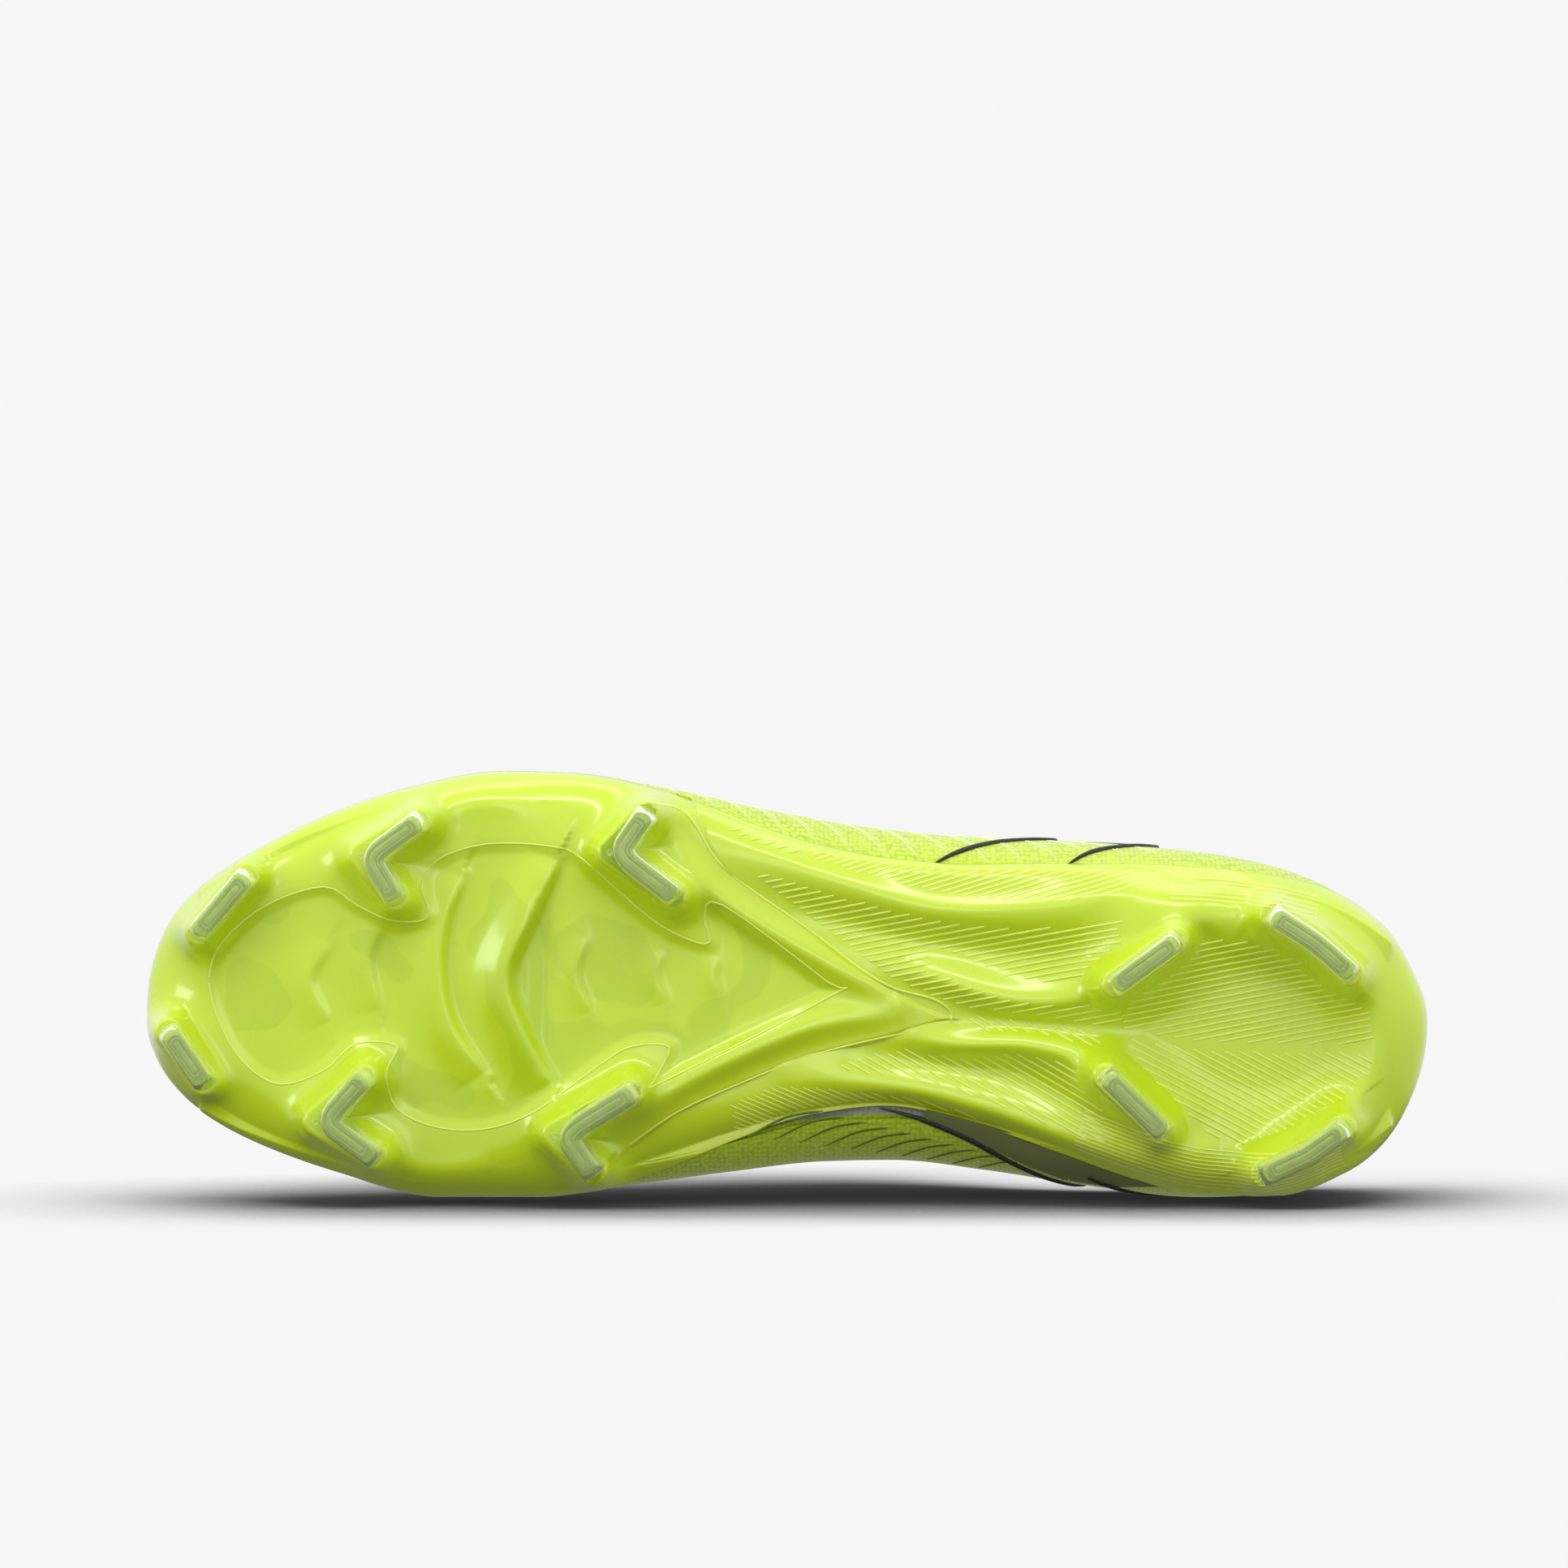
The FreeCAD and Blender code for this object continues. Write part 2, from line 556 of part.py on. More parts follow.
def side_cords(side, routes):
    """Thin cords on the side of the upper, each through its (x, z) points."""
    cords = []
    for route in routes:
        curve = Part.BSplineCurve()
        curve.interpolate([Vector(x, 0, z) for x, z in route])
        samples = curve.discretize(12)
        points = [surface_point(p.x, p.z, side, 0.05) for p in samples]
        normals = []
        for p in samples:
            upward = surface_point(p.x, p.z + 1, side, 0) - surface_point(p.x, p.z - 1, side, 0)
            forward = surface_point(p.x + 1, p.z, side, 0) - surface_point(p.x - 1, p.z, side, 0)
            normals.append((upward.cross(forward) * side).normalize())
        cords.append(strap(points, normals, CORD_WIDTH, CORD_THICKNESS))
    return Part.makeCompound(cords)


def pull_tab():
    """A webbing loop that stands on the heel's top edge, open from side to side."""
    y0 = ridge_y(TAB_BACK_X) - TAB_WIDTH / 2

    def racetrack(wall):
        radius = TAB_DEPTH / 2 - wall
        x_mid = TAB_BACK_X + TAB_DEPTH / 2
        low = TAB_BASE_Z + wall
        high = TAB_BASE_Z + TAB_HEIGHT - TAB_DEPTH / 2
        sides = [Vector(x_mid - radius, y0, high), Vector(x_mid - radius, y0, low),
                 Vector(x_mid + radius, y0, low), Vector(x_mid + radius, y0, high)]
        arc = Part.Arc(sides[3], Vector(x_mid, y0, high + radius), sides[0]).toShape()
        lines = [Part.LineSegment(a, b).toShape() for a, b in zip(sides, sides[1:])]
        return Part.Face(Part.Wire(lines + [arc])).extrude(Vector(0, TAB_WIDTH, 0))

    return racetrack(0.0).cut(racetrack(TAB_WALL))


def pull_tab_anchor():
    centre = ridge_y(-HALF_LENGTH)
    y_range = (centre - TAB_WIDTH / 2, centre + TAB_WIDTH / 2)
    patch = block(-REACH_X, COUNTER_FRONT_X, *y_range, ANCHOR_LOW_Z, ANCHOR_HIGH_Z)
    return shell(ANCHOR_THICKNESS, 0.0, patch)


# ---------------------------------------------------------------- assembly
def build():
    pieces = {}
    pieces.update(sole_plates())
    for name, line, tip_z in STUDS:
        pieces["stud_tip_" + name] = stud_tip(line, tip_z)
    pieces.update(inner_layers())
    pieces.update(upper_pieces())
    pieces.update(heel_and_collar())
    pieces.update(eyestays())
    pieces.update(tongue_pieces())
    pieces["eyelets_lateral"] = eyelet_group(1)
    pieces["eyelets_medial"] = eyelet_group(-1)
    pieces["lace"] = lace()
    pieces["support_cords_lateral"] = side_cords(1, CORDS_LATERAL)
    pieces["support_cords_medial"] = side_cords(-1, CORDS_MEDIAL)
    pieces["pull_tab"] = pull_tab()
    pieces["pull_tab_anchor"] = largest(pull_tab_anchor())
    return pieces


os.makedirs("parts", exist_ok=True)
for node, shape in build().items():
    shape.exportStep("parts/" + node + ".step")
    print(node, round(shape.Volume), "mm3, solids", len(shape.Solids), "valid", shape.isValid())
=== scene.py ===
"""Looks of the left soccer cleat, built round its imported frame.

Shapes are worked out in millimetres in the frame's own axes and turned into metres when a mesh is made.
X is towards the toe, Y towards the outer side of the foot, Z up; the sole faces -Z.
"""
import math

import bpy
import numpy as np
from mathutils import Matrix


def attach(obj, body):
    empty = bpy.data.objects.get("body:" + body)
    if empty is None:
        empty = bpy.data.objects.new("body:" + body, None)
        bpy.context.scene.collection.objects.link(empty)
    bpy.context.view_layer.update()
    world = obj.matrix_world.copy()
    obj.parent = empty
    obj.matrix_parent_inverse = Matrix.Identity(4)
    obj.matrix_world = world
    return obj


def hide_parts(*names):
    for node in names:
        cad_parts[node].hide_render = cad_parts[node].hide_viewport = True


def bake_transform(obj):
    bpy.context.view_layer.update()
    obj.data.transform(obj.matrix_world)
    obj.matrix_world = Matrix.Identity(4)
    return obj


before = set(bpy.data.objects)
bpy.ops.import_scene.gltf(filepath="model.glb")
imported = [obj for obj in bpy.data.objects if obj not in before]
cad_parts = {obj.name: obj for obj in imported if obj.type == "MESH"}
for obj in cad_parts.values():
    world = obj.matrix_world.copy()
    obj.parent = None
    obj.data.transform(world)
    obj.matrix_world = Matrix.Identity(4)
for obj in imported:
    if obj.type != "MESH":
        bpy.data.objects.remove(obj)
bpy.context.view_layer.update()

MM = 0.001
HALF_LENGTH = 141.0

# ------------------------------------------------------------------ shape of the shoe (mm)
# plan outlines (x, y) from toe to heel; the upper's and the plate's share their ends
TOE_LATERAL = [(141, -4.7), (138.4, 8.6), (133, 17.3), (119, 28), (104, 36), (83, 43.3), (62, 46.9),
               (47, 46.5)]
HEEL_LATERAL = [(-131, 13), (-138, 2), (-141, -9)]
TOE_MEDIAL = [(141, -4.7), (138.4, -17.5), (133, -24.6), (119, -34.2), (97, -42.2), (76, -47.2), (55, -47.2)]
HEEL_MEDIAL = [(-109, -46.9), (-123.5, -41.9), (-131, -35.8), (-138, -24), (-141, -9)]
OUTLINE_LATERAL = TOE_LATERAL + [(26, 43.1), (5, 38.5), (-17, 34.6), (-38, 32.4), (-66, 31), (-95, 28.5),
                                 (-116, 23.2)] + HEEL_LATERAL
OUTLINE_MEDIAL = TOE_MEDIAL + [(33, -44.5), (12, -41.9), (-9, -39.9), (-24, -39.7), (-45, -42),
                               (-66, -45.2), (-91, -47.7)] + HEEL_MEDIAL
PLATE_LATERAL = TOE_LATERAL + [(26, 42.4), (12, 37.2), (3, 33.8), (-8, 30.6), (-24, 27.6), (-42, 26.4),
                               (-60, 26.6), (-78, 26.4), (-95, 25.4), (-108, 23.8),
                               (-118, 21.4)] + HEEL_LATERAL
PLATE_MEDIAL = TOE_MEDIAL + [(40, -45.0), (25, -40.0), (12, -34.6), (-6, -28.6), (-22, -26.8), (-42, -30.8),
                             (-60, -37), (-77, -43), (-91, -46.6)] + HEEL_MEDIAL
TAIL_LATERAL = [(-38.4, -7.5), (-22, -0.4), (-6, 12), (12, 25.5), (19, 37.5), (21, 41.0), (26, 42.4)]
TAIL_MEDIAL = [(-38.4, -7.7), (-24, -11.9), (-6, -16.4), (12, -23.5), (24, -29.2), (34, -37), (42, -45.2)]
TAIL_TIP_X = -38.4
# values along the shoe (x, value), and lean and tuck by height (z, value)
RIDGE_Y = [(-141, -9), (-95, -9.6), (-59, -6.4), (-22, -3), (0, -1.5), (54, -1), (100, -3), (141, -4.7)]
SOLE_Z = [(-150, 19), (-141, 17), (-120, 13.6), (-90, 13), (-40, 15.5), (0, 13.5), (30, 12), (60, 12),
          (90, 13.4), (110, 15.4), (125, 18), (141, 23), (150, 26.5)]
WIDEST_Z = [(-141, 34), (-100, 32), (-60, 36), (-22, 36), (20, 28), (54, 25), (90, 25), (120, 27), (141, 29)]
RIDGE_Z = [(-150, 132), (-90, 128), (-60, 120), (-40, 109), (-20, 97), (0, 86), (25, 76), (50, 68),
           (75, 61.5), (100, 56), (120, 50), (132, 43.5), (138, 37), (141, 30.5)]
UNDERCUT = [(-141, 1.35), (-95, 1.3), (-40, 1.1), (-10, 1.12), (40, 1.4), (141, 1.44)]
HEEL_LEAN = [(0, 9), (14, 6), (22, 2), (32, 0), (50, 1.5), (65, 4.5), (78, 6), (95, 5), (120, 4)]
TOE_TUCK = [(0, 16), (16, 12), (22, 6), (26, 2), (30, 0)]
TOPLINE_Z = [(-150, 72), (-136, 72), (-122, 69), (-100, 60.5), (-78, 58.5), (-60, 63), (-45, 73),
             (-34, 84), (-24, 95), (-10, 112), (5, 140)]
PLATE_EDGE_Z = [(-150, 33), (-141, 32), (-120, 28), (-90, 24.5), (-50, 22), (-20, 21), (10, 22),
                (40, 24), (90, 25), (120, 28), (141, 33), (150, 35)]
RIM_WIDTH = [(-141, 12), (-100, 12), (-60, 8), (-10, 8), (30, 13), (141, 15)]
CROWN_POWER = 2.2
BELLY_POWER = 2.4
LEAN_START_X = -50.0
TUCK_START_X = 60.0
THROAT_FRONT_X = 48.0
THROAT_HALF_WIDTH = 11.0

TIP_HEIGHT = 4.6
# name, body that carries it, crest line of the stud from end to end, height of its tip over the ground
STUDS = [
    ("toe_lateral", "forefoot", [(128.2, 11.5), (117.8, 23.6)], 7.6),
    ("toe_medial", "forefoot", [(134.9, -10.4), (127.3, -21.2)], 10.4),
    ("front_lateral", "forefoot", [(79.6, 35.8), (92.0, 28.2), (84.8, 19.2)], 1.6),
    ("front_medial", "forefoot", [(91.6, -20.0), (102.0, -29.6), (89.6, -37.0)], 2.2),
    ("rear_lateral", "rearfoot", [(30.2, 37.2), (38.0, 29.0), (24.2, 19.8)], 0.0),
    ("rear_medial", "rearfoot", [(33.4, -23.2), (50.0, -32.4), (41.8, -40.2)], 0.0),
    ("heel_front_lateral", "rearfoot", [(-71.8, 0.2), (-85.0, 9.8)], 0.0),
    ("heel_front_medial", "rearfoot", [(-70.0, -19.6), (-82.0, -31.4)], 0.0),
    ("heel_rear_lateral", "rearfoot", [(-106.2, 15.2), (-115.4, 9.6), (-122.8, 2.8)], 0.0),
    ("heel_rear_medial", "rearfoot", [(-104.2, -40.8), (-113.6, -36.8), (-121.2, -31.0)], 0.0),
]


# ------------------------------------------------------------------ curves
def smooth_curve(points):
    """A monotone cubic through points, as a function of an array."""
    points = sorted(points)
    xs = np.array([p[0] for p in points], float)
    ys = np.array([p[1] for p in points], float)
    slopes = np.diff(ys) / np.diff(xs)
    tangents = np.zeros(len(xs))
    tangents[0], tangents[-1] = slopes[0], slopes[-1]
    product = slopes[:-1] * slopes[1:]
    total = np.where(np.abs(slopes[:-1] + slopes[1:]) < 1e-9, 1.0, slopes[:-1] + slopes[1:])
    tangents[1:-1] = np.where(product > 0, 2 * product / total, 0.0)

    def value(x):
        x = np.clip(np.asarray(x, float), xs[0], xs[-1])
        i = np.clip(np.searchsorted(xs, x, side="right") - 1, 0, len(xs) - 2)
        step = xs[i + 1] - xs[i]
        t = (x - xs[i]) / step
        rise = (3 - 2 * t) * t * t
        return (ys[i] * (1 - rise) + ys[i + 1] * rise
                + step * t * (1 - t) * ((1 - t) * tangents[i] - t * tangents[i + 1]))

    return value


def outline_curve(points):
    """One side of a plan outline, smooth round both ends, as y of x."""
    angle = smooth_curve([(math.acos(-x / HALF_LENGTH), y) for x, y in points])
    return lambda x: angle(np.arccos(-np.clip(x, -HALF_LENGTH, HALF_LENGTH) / HALF_LENGTH))


lateral_y = outline_curve(OUTLINE_LATERAL)
medial_y = outline_curve(OUTLINE_MEDIAL)
plate_lateral_y = outline_curve(PLATE_LATERAL)
plate_medial_y = outline_curve(PLATE_MEDIAL)
tail_lateral_y = smooth_curve(TAIL_LATERAL)
tail_medial_y = smooth_curve(TAIL_MEDIAL)
ridge_y = smooth_curve(RIDGE_Y)
sole_z = smooth_curve(SOLE_Z)
widest_z = smooth_curve(WIDEST_Z)
ridge_z = smooth_curve(RIDGE_Z)
undercut = smooth_curve(UNDERCUT)
heel_lean = smooth_curve(HEEL_LEAN)
toe_tuck = smooth_curve(TOE_TUCK)
topline_z = smooth_curve(TOPLINE_Z)
plate_edge_z = smooth_curve(PLATE_EDGE_Z)
rim_width = smooth_curve(RIM_WIDTH)


def smoothstep(low, high, value):
    """A smooth step from 0 at low to 1 at high; it falls where low is the larger."""
    t = np.clip((value - low) / (high - low), 0.0, 1.0)
    return t * t * (3 - 2 * t)


def spline(points, per_span=10, closed=False):
    """Catmull-Rom points along a few given ones."""
    p = np.array(points, float)
    if closed:
        p = np.vstack([p[-1], p, p[:2]])
    else:
        p = np.vstack([2 * p[0] - p[1], p, 2 * p[-1] - p[-2]])
    out = []
    for a, b, c, d in zip(p, p[1:], p[2:], p[3:]):
        for t in np.arange(per_span) / per_span:
            out.append(0.5 * (2 * b + (c - a) * t + (2 * a - 5 * b + 4 * c - d) * t * t
                              + (3 * b - a - 3 * c + d) * t ** 3))
    if not closed:
        out.append(p[-2])
    return np.array(out)


def near_line(x, y, line):
    """Distance to a polyline, which side (+1 left of its direction), and the share of its length."""
    start, end = line[:-1], line[1:]
    span = end - start
    length = np.hypot(span[:, 0], span[:, 1])
    travelled = np.concatenate([[0], np.cumsum(length)])
    best = np.full(x.shape, 1e9)
    side = np.ones(x.shape)
    share = np.zeros(x.shape)
    for k in range(len(start)):
        rx, ry = x - start[k, 0], y - start[k, 1]
        t = np.clip((rx * span[k, 0] + ry * span[k, 1]) / max(length[k] ** 2, 1e-9), 0, 1)
        dx, dy = rx - t * span[k, 0], ry - t * span[k, 1]
        distance = dx * dx + dy * dy
        closer = distance < best
        best = np.where(closer, distance, best)
        side = np.where(closer, np.sign(span[k, 0] * ry - span[k, 1] * rx), side)
        share = np.where(closer, (travelled[k] + t * length[k]) / travelled[-1], share)
    return np.sqrt(best), side, share


def inside(x, y, loop):
    """True where (x, y) is inside the closed loop."""
    found = np.zeros(x.shape, bool)
    for a, b in zip(loop, np.roll(loop, -1, axis=0)):
        crosses = (a[1] > y) != (b[1] > y)
        rise = b[1] - a[1] if abs(b[1] - a[1]) > 1e-9 else 1e-9
        found ^= crosses & (x < (b[0] - a[0]) * (y - a[1]) / rise + a[0])
    return found


# ------------------------------------------------------------------ relief of the sole (mm)
WINDOW = [(126.5, 1.4), (123.3, 9.4), (113.5, 17.5), (101, 21.4), (93.9, 17.5), (86.8, 14.3), (80.5, 13.9),
          (77.8, 15.7), (79.3, 21.9), (76.1, 27.3), (65.4, 30.8), (51.1, 30.3), (44, 27.3), (29.7, 14.8),
          (20.8, 9.8), (16.4, 9.4), (17.6, 14.8), (13.7, 17.5), (-9.4, 0.5), (-10.7, -2.1), (26.2, -20.8),
          (28.3, -20.5), (25.3, -13.7), (33.3, -13.4), (40.4, -17.3), (54.7, -27.6), (65.4, -31.5),
          (76.1, -31.2), (85, -27.1), (87.1, -19.1), (85, -13.4), (93.9, -12.8), (101, -18.7),
          (110.8, -21.9), (118.8, -17.3), (124.2, -8.4)]
# points, height, reach on the left of the direction, reach on the right
FOREFOOT_RIDGES = [
    ([(70.5, 24.5), (74.6, 14), (75.6, 3.0), (73.0, -9), (65.5, -20.0)], 2.7, 6.0, 1.3),
    ([(49.6, 28.0), (55.5, 15.5), (60.8, 2.3), (57.6, -9.5), (50.6, -22.5)], 4.2, 6.5, 1.3),
    ([(54.0, 20.0), (52.5, 2.5), (53.0, -17.0)], -1.3, 2.4, 2.4),
    ([(43.5, 10.5), (46.0, 2.5), (42.5, -6.0)], 1.0, 3.2, 1.2),
    ([(27.0, 7.5), (28.5, 2.0), (26.0, -4.0)], 0.7, 3.0, 1.2),
    ([(15.0, 6.5), (16.0, 2.0), (14.5, -2.5)], 0.5, 2.6, 1.4),
    ([(100.0, 9.5), (104.5, 1.0), (100.0, -8.5)], 0.9, 4.5, 1.5),
    ([(88.0, 14.0), (91.5, 6.0), (89.0, -6.0)], 1.0, 4.5, 1.4),
    ([(27.0, 37.0), (22.0, 28.0), (13.0, 18.4), (-6.0, 6.6), (-24.0, -3.0)], 2.3, 3.2, 3.0),
    ([(44.0, -35.0), (30.0, -26.0), (15.0, -17.6), (-6.0, -9.0), (-25.0, -6.0)], 2.1, 3.0, 3.2),
    ([(80.0, 37.5), (68.0, 40.6), (56.0, 40.2)], 1.4, 3.5, 5.0),
    ([(32.0, 39.0), (24.0, 38.6), (14.0, 33.6)], 1.3, 3.0, 3.0),
    ([(90.0, -38.0), (78.0, -41.5), (64.0, -40.0)], 1.2, 5.0, 3.5),
]
REAR_RIDGES = [
    ([(16, 32), (4, 28), (-11, 22.4), (-33, 16.2), (-59, 16.8), (-77, 19.4), (-104, 18.8)], 2.4, 6.5, 3.4),
    ([(2, 18), (-14, 13.5), (-34, 9.0), (-56, 6.4), (-68, 8.0)], -2.4, 5.0, 5.0),
    ([(-24, 4.0), (-34, 1.6), (-50, -3.6), (-63, -3.6), (-72, 0.4)], 2.6, 3.0, 4.2),
    ([(-28, -12.0), (-38, -13.4), (-52, -12.8), (-64, -15.6), (-71, -21.0)], 2.8, 3.4, 3.2),
    ([(-40, -8.0), (-60, -9.2), (-80, -9.6), (-90, -10)], -1.8, 4.4, 4.4),
    ([(-16, -16.5), (-42, -18.6), (-60, -24), (-74, -33)], -2.2, 4.0, 4.0),
    ([(0, -18.6), (-14, -21), (-33, -24), (-59, -33.5), (-78, -40.2), (-100, -43.4)], 2.2, 4.0, 5.0),
    ([(-70, 3.4), (-74, 10.5), (-83, 15.4), (-93, 14.2), (-99, 9.0)], 3.0, 3.4, 5.4),
    ([(-66, -21), (-73, -31), (-84, -36.5), (-96, -35.6)], 2.6, 5.4, 3.4),
    ([(-100, -40), (-112, -34.2), (-126, -24.5)], 2.4, 1.9, 4.5),
    ([(-99, 16.6), (-112, 10.6), (-124, 1.5)], 2.0, 4.5, 2.4),
]
WINDOW_DEPTH = 0.8
STUD_TOP_HALF_WIDTH = 2.7
STUD_FLARE = 4.4
CHASSIS_SINK = 0.35
MAX_HOLLOW = 2.2
PLATE_PROUD = 0.6
HEEL_FLARE = 1.6
HEEL_BOWL_CENTRE = (-104, -11)
HEEL_BOWL_REACH = (25, 19)
HEEL_BOWL_DEPTH = 2.0
UNDER_TAIL_DROP = 3.0
TAIL_STEP = 0.6
RIM_POWER = 2.3
STUD_REACH = 22
STUD_ROOT = 0.6
# steps of the lip turned in from the rim: distance inward and rise
LIP = ((0.5, 0.35), (1.8, 0.5), (3.6, 0.6))
TOE_FLARE = 0.6

outline_x = -HALF_LENGTH * np.cos(np.linspace(0, math.pi, 181))
PLATE_LOOP = np.vstack([np.column_stack([outline_x, plate_lateral_y(outline_x)]),
                        np.column_stack([outline_x[::-1], plate_medial_y(outline_x[::-1])])[1:-1]])
WINDOW_LOOP = spline(WINDOW, 4, closed=True)
PLATE_RING = np.vstack([PLATE_LOOP, PLATE_LOOP[:1]])
WINDOW_RING = np.vstack([WINDOW_LOOP, WINDOW_LOOP[:1]])
TAIL_EDGE = np.vstack([np.array(sorted(TAIL_LATERAL, reverse=True)), np.array(TAIL_MEDIAL)])
TAIL_LOOP = np.array(TAIL_LATERAL + [(60, 46), (60, -46)] + TAIL_MEDIAL[::-1], float)


def belly_z(x, y):
    """Height of the upper's underside over a point of the plan."""
    edge = np.where(y >= ridge_y(x), lateral_y(x), medial_y(x))
    share = np.clip(np.abs(y - ridge_y(x)) / np.maximum(1.0, np.abs(edge - ridge_y(x))), 0, 1)
    wide = widest_z(x)
    depth = np.maximum(4.0, (wide - sole_z(x)) * undercut(x))
    return wide - (1 - share ** BELLY_POWER) ** (1 / BELLY_POWER) * depth


def add_ridge(height, x, y, points, tall, left, right):
    """Adds a rounded ridge, or a hollow where tall is negative, that fades at both ends."""
    line = spline(points, 8)
    reach = 2.6 * max(left, right)
    near = ((x > line[:, 0].min() - reach) & (x < line[:, 0].max() + reach)
            & (y > line[:, 1].min() - reach) & (y < line[:, 1].max() + reach))
    if not near.any():
        return
    distance, side, share = near_line(x[near], y[near], line)
    width = np.where(side > 0, left, right)
    fade = np.sin(math.pi * np.clip(share, 0.02, 0.98)) ** 0.45
    height[near] += tall * fade * np.exp(-(distance / width) ** 2)


def rim_rise(x, y):
    """How far the rounded rim lifts the sole at a point, from its distance to the plate's edge."""
    distance, _, _ = near_line(x, y, PLATE_RING)
    share = np.clip(1 - distance / rim_width(x), 0, 1)
    return (plate_edge_z(x) - sole_z(x)) * (1 - (1 - share ** RIM_POWER) ** (1 / RIM_POWER)), distance


def stud_relief(x, y, z):
    """Raises the moulded stud bases out of the plate towards the ground."""
    for _, _, line, tip_z in STUDS:
        crest = np.array(line, float)
        near = ((x > crest[:, 0].min() - STUD_REACH) & (x < crest[:, 0].max() + STUD_REACH)
                & (y > crest[:, 1].min() - STUD_REACH) & (y < crest[:, 1].max() + STUD_REACH))
        if not near.any():
            continue
        distance, _, _ = near_line(x[near], y[near], crest)
        beyond = np.maximum(0.0, distance - STUD_TOP_HALF_WIDTH)
        share = 0.72 * np.exp(-(beyond / 1.9) ** 1.5) + 0.28 * np.exp(-(beyond / STUD_FLARE) ** 1.6)
        top = tip_z + TIP_HEIGHT - STUD_ROOT
        z[near] = z[near] - np.maximum(0.0, z[near] - top) * share
    return z


def sole_height(x, y, rear):
    """Height of the sole's outer face, on the ribbed rear chassis or on the smooth forefoot plate."""
    x, y = np.asarray(x, float), np.asarray(y, float)
    rise, edge = rim_rise(x, y)
    height = np.zeros(x.shape)
    for ridge in (REAR_RIDGES if rear else FOREFOOT_RIDGES):
        add_ridge(height, x, y, *ridge)
    if rear:
        bowl = (((x - HEEL_BOWL_CENTRE[0]) / HEEL_BOWL_REACH[0]) ** 2
                + ((y - HEEL_BOWL_CENTRE[1]) / HEEL_BOWL_REACH[1]) ** 2)
        height -= HEEL_BOWL_DEPTH * smoothstep(1.3, 0.2, bowl)
        under_tail = inside(x, y, TAIL_LOOP) * smoothstep(1.2, 4.0, near_line(x, y, TAIL_EDGE)[0])
        height -= CHASSIS_SINK + UNDER_TAIL_DROP * under_tail
    else:
        distance, _, _ = near_line(x, y, WINDOW_RING)
        signed = np.where(inside(x, y, WINDOW_LOOP), distance, -distance)
        height -= WINDOW_DEPTH * smoothstep(-0.6, 2.6, signed)
        tail, _, _ = near_line(x, y, TAIL_EDGE)
        height -= TAIL_STEP * (1 - smoothstep(0.0, 1.6, tail)) * (edge > 1.5)
    deepest = -MAX_HOLLOW - (UNDER_TAIL_DROP * under_tail if rear else 0.0)
    height = np.maximum(height, deepest) * smoothstep(0.0, 4.0, edge)
    z = sole_z(x) + rise
    free = 30.0 * (smoothstep(-132, -136, x) + smoothstep(128, 133, x))
    z = np.minimum(z, np.maximum(belly_z(x, y) - PLATE_PROUD, sole_z(x) + 3.0) + free)
    return stud_relief(x, y, z - height)


# ------------------------------------------------------------------ shape of the upper (mm)
def side_width(x, z, side, grow):
    """Distance from the ridge line to the side wall at (x, z); side is +1 lateral or -1 medial."""
    lean = heel_lean(z) * np.maximum(0.0, (LEAN_START_X - x) / (HALF_LENGTH + LEAN_START_X))
    tuck = toe_tuck(z) * np.maximum(0.0, (x - TUCK_START_X) / (HALF_LENGTH - TUCK_START_X))
    along = (x - lean + tuck) * HALF_LENGTH / (HALF_LENGTH + grow)
    edge = np.where(side > 0, lateral_y(along), medial_y(along))
    width = np.abs(edge - ridge_y(along))
    width = width + grow * np.minimum(1.0, width / 8.0)
    wide = widest_z(along)
    crown = np.clip((z - wide) / np.maximum(1.0, ridge_z(along) + grow - wide), 0, 1)
    depth = np.maximum(4.0, (wide - sole_z(along) + grow) * undercut(along))
    belly = np.clip((wide - z) / depth, 0, 0.92)
    above = np.sqrt(np.maximum(0.0, 1 - crown ** CROWN_POWER))
    below = (1 - belly ** BELLY_POWER) ** (1 / BELLY_POWER)
    return width * np.where(z >= wide, above, below)


CREST_X = np.linspace(-60, HALF_LENGTH, 800)


def ring_point(share, side, z, grow):
    """The point at a share (0 heel, 1 toe) of one side of the shoe's horizontal ring at height z."""
    share, side, z = np.broadcast_arrays(*(np.asarray(given, float) for given in (share, side, z)))
    stretch = (HALF_LENGTH + grow) / HALF_LENGTH
    back = -HALF_LENGTH * stretch + heel_lean(z)
    crest_limit = np.interp(-z, -(ridge_z(CREST_X) + grow), CREST_X) * stretch
    front = np.minimum(HALF_LENGTH * stretch - toe_tuck(z), crest_limit)
    x = (back + front) / 2 - (front - back) / 2 * np.cos(math.pi * share)
    wall = side_width(x, z, side, grow) * (share > 1e-6) * (share < 1 - 1e-6)
    return np.stack([x, ridge_y(x) + side * wall, z], axis=-1)


def roof_z(x, y, grow=0.0):
    """Height of the upper's face over (x, y)."""
    edge = np.where(y >= ridge_y(x), lateral_y(x), medial_y(x))
    share = np.clip(np.abs(y - ridge_y(x)) / np.abs(edge - ridge_y(x)), 0, 1)
    wide = widest_z(x)
    return wide + (ridge_z(x) + grow - wide) * (1 - share ** 2) ** (1 / CROWN_POWER)


def unit(vectors):
    """The vectors scaled to length 1."""
    return vectors / np.maximum(1e-9, np.linalg.norm(vectors, axis=-1, keepdims=True))


def roof_normal(x, y):
    """The upper's outward direction over (x, y)."""
    step = 0.5
    slope_x = (roof_z(x + step, y) - roof_z(x - step, y)) / (2 * step)
    slope_y = (roof_z(x, y + step) - roof_z(x, y - step)) / (2 * step)
    return unit(np.stack([-slope_x, -slope_y, np.ones_like(slope_x)], -1))


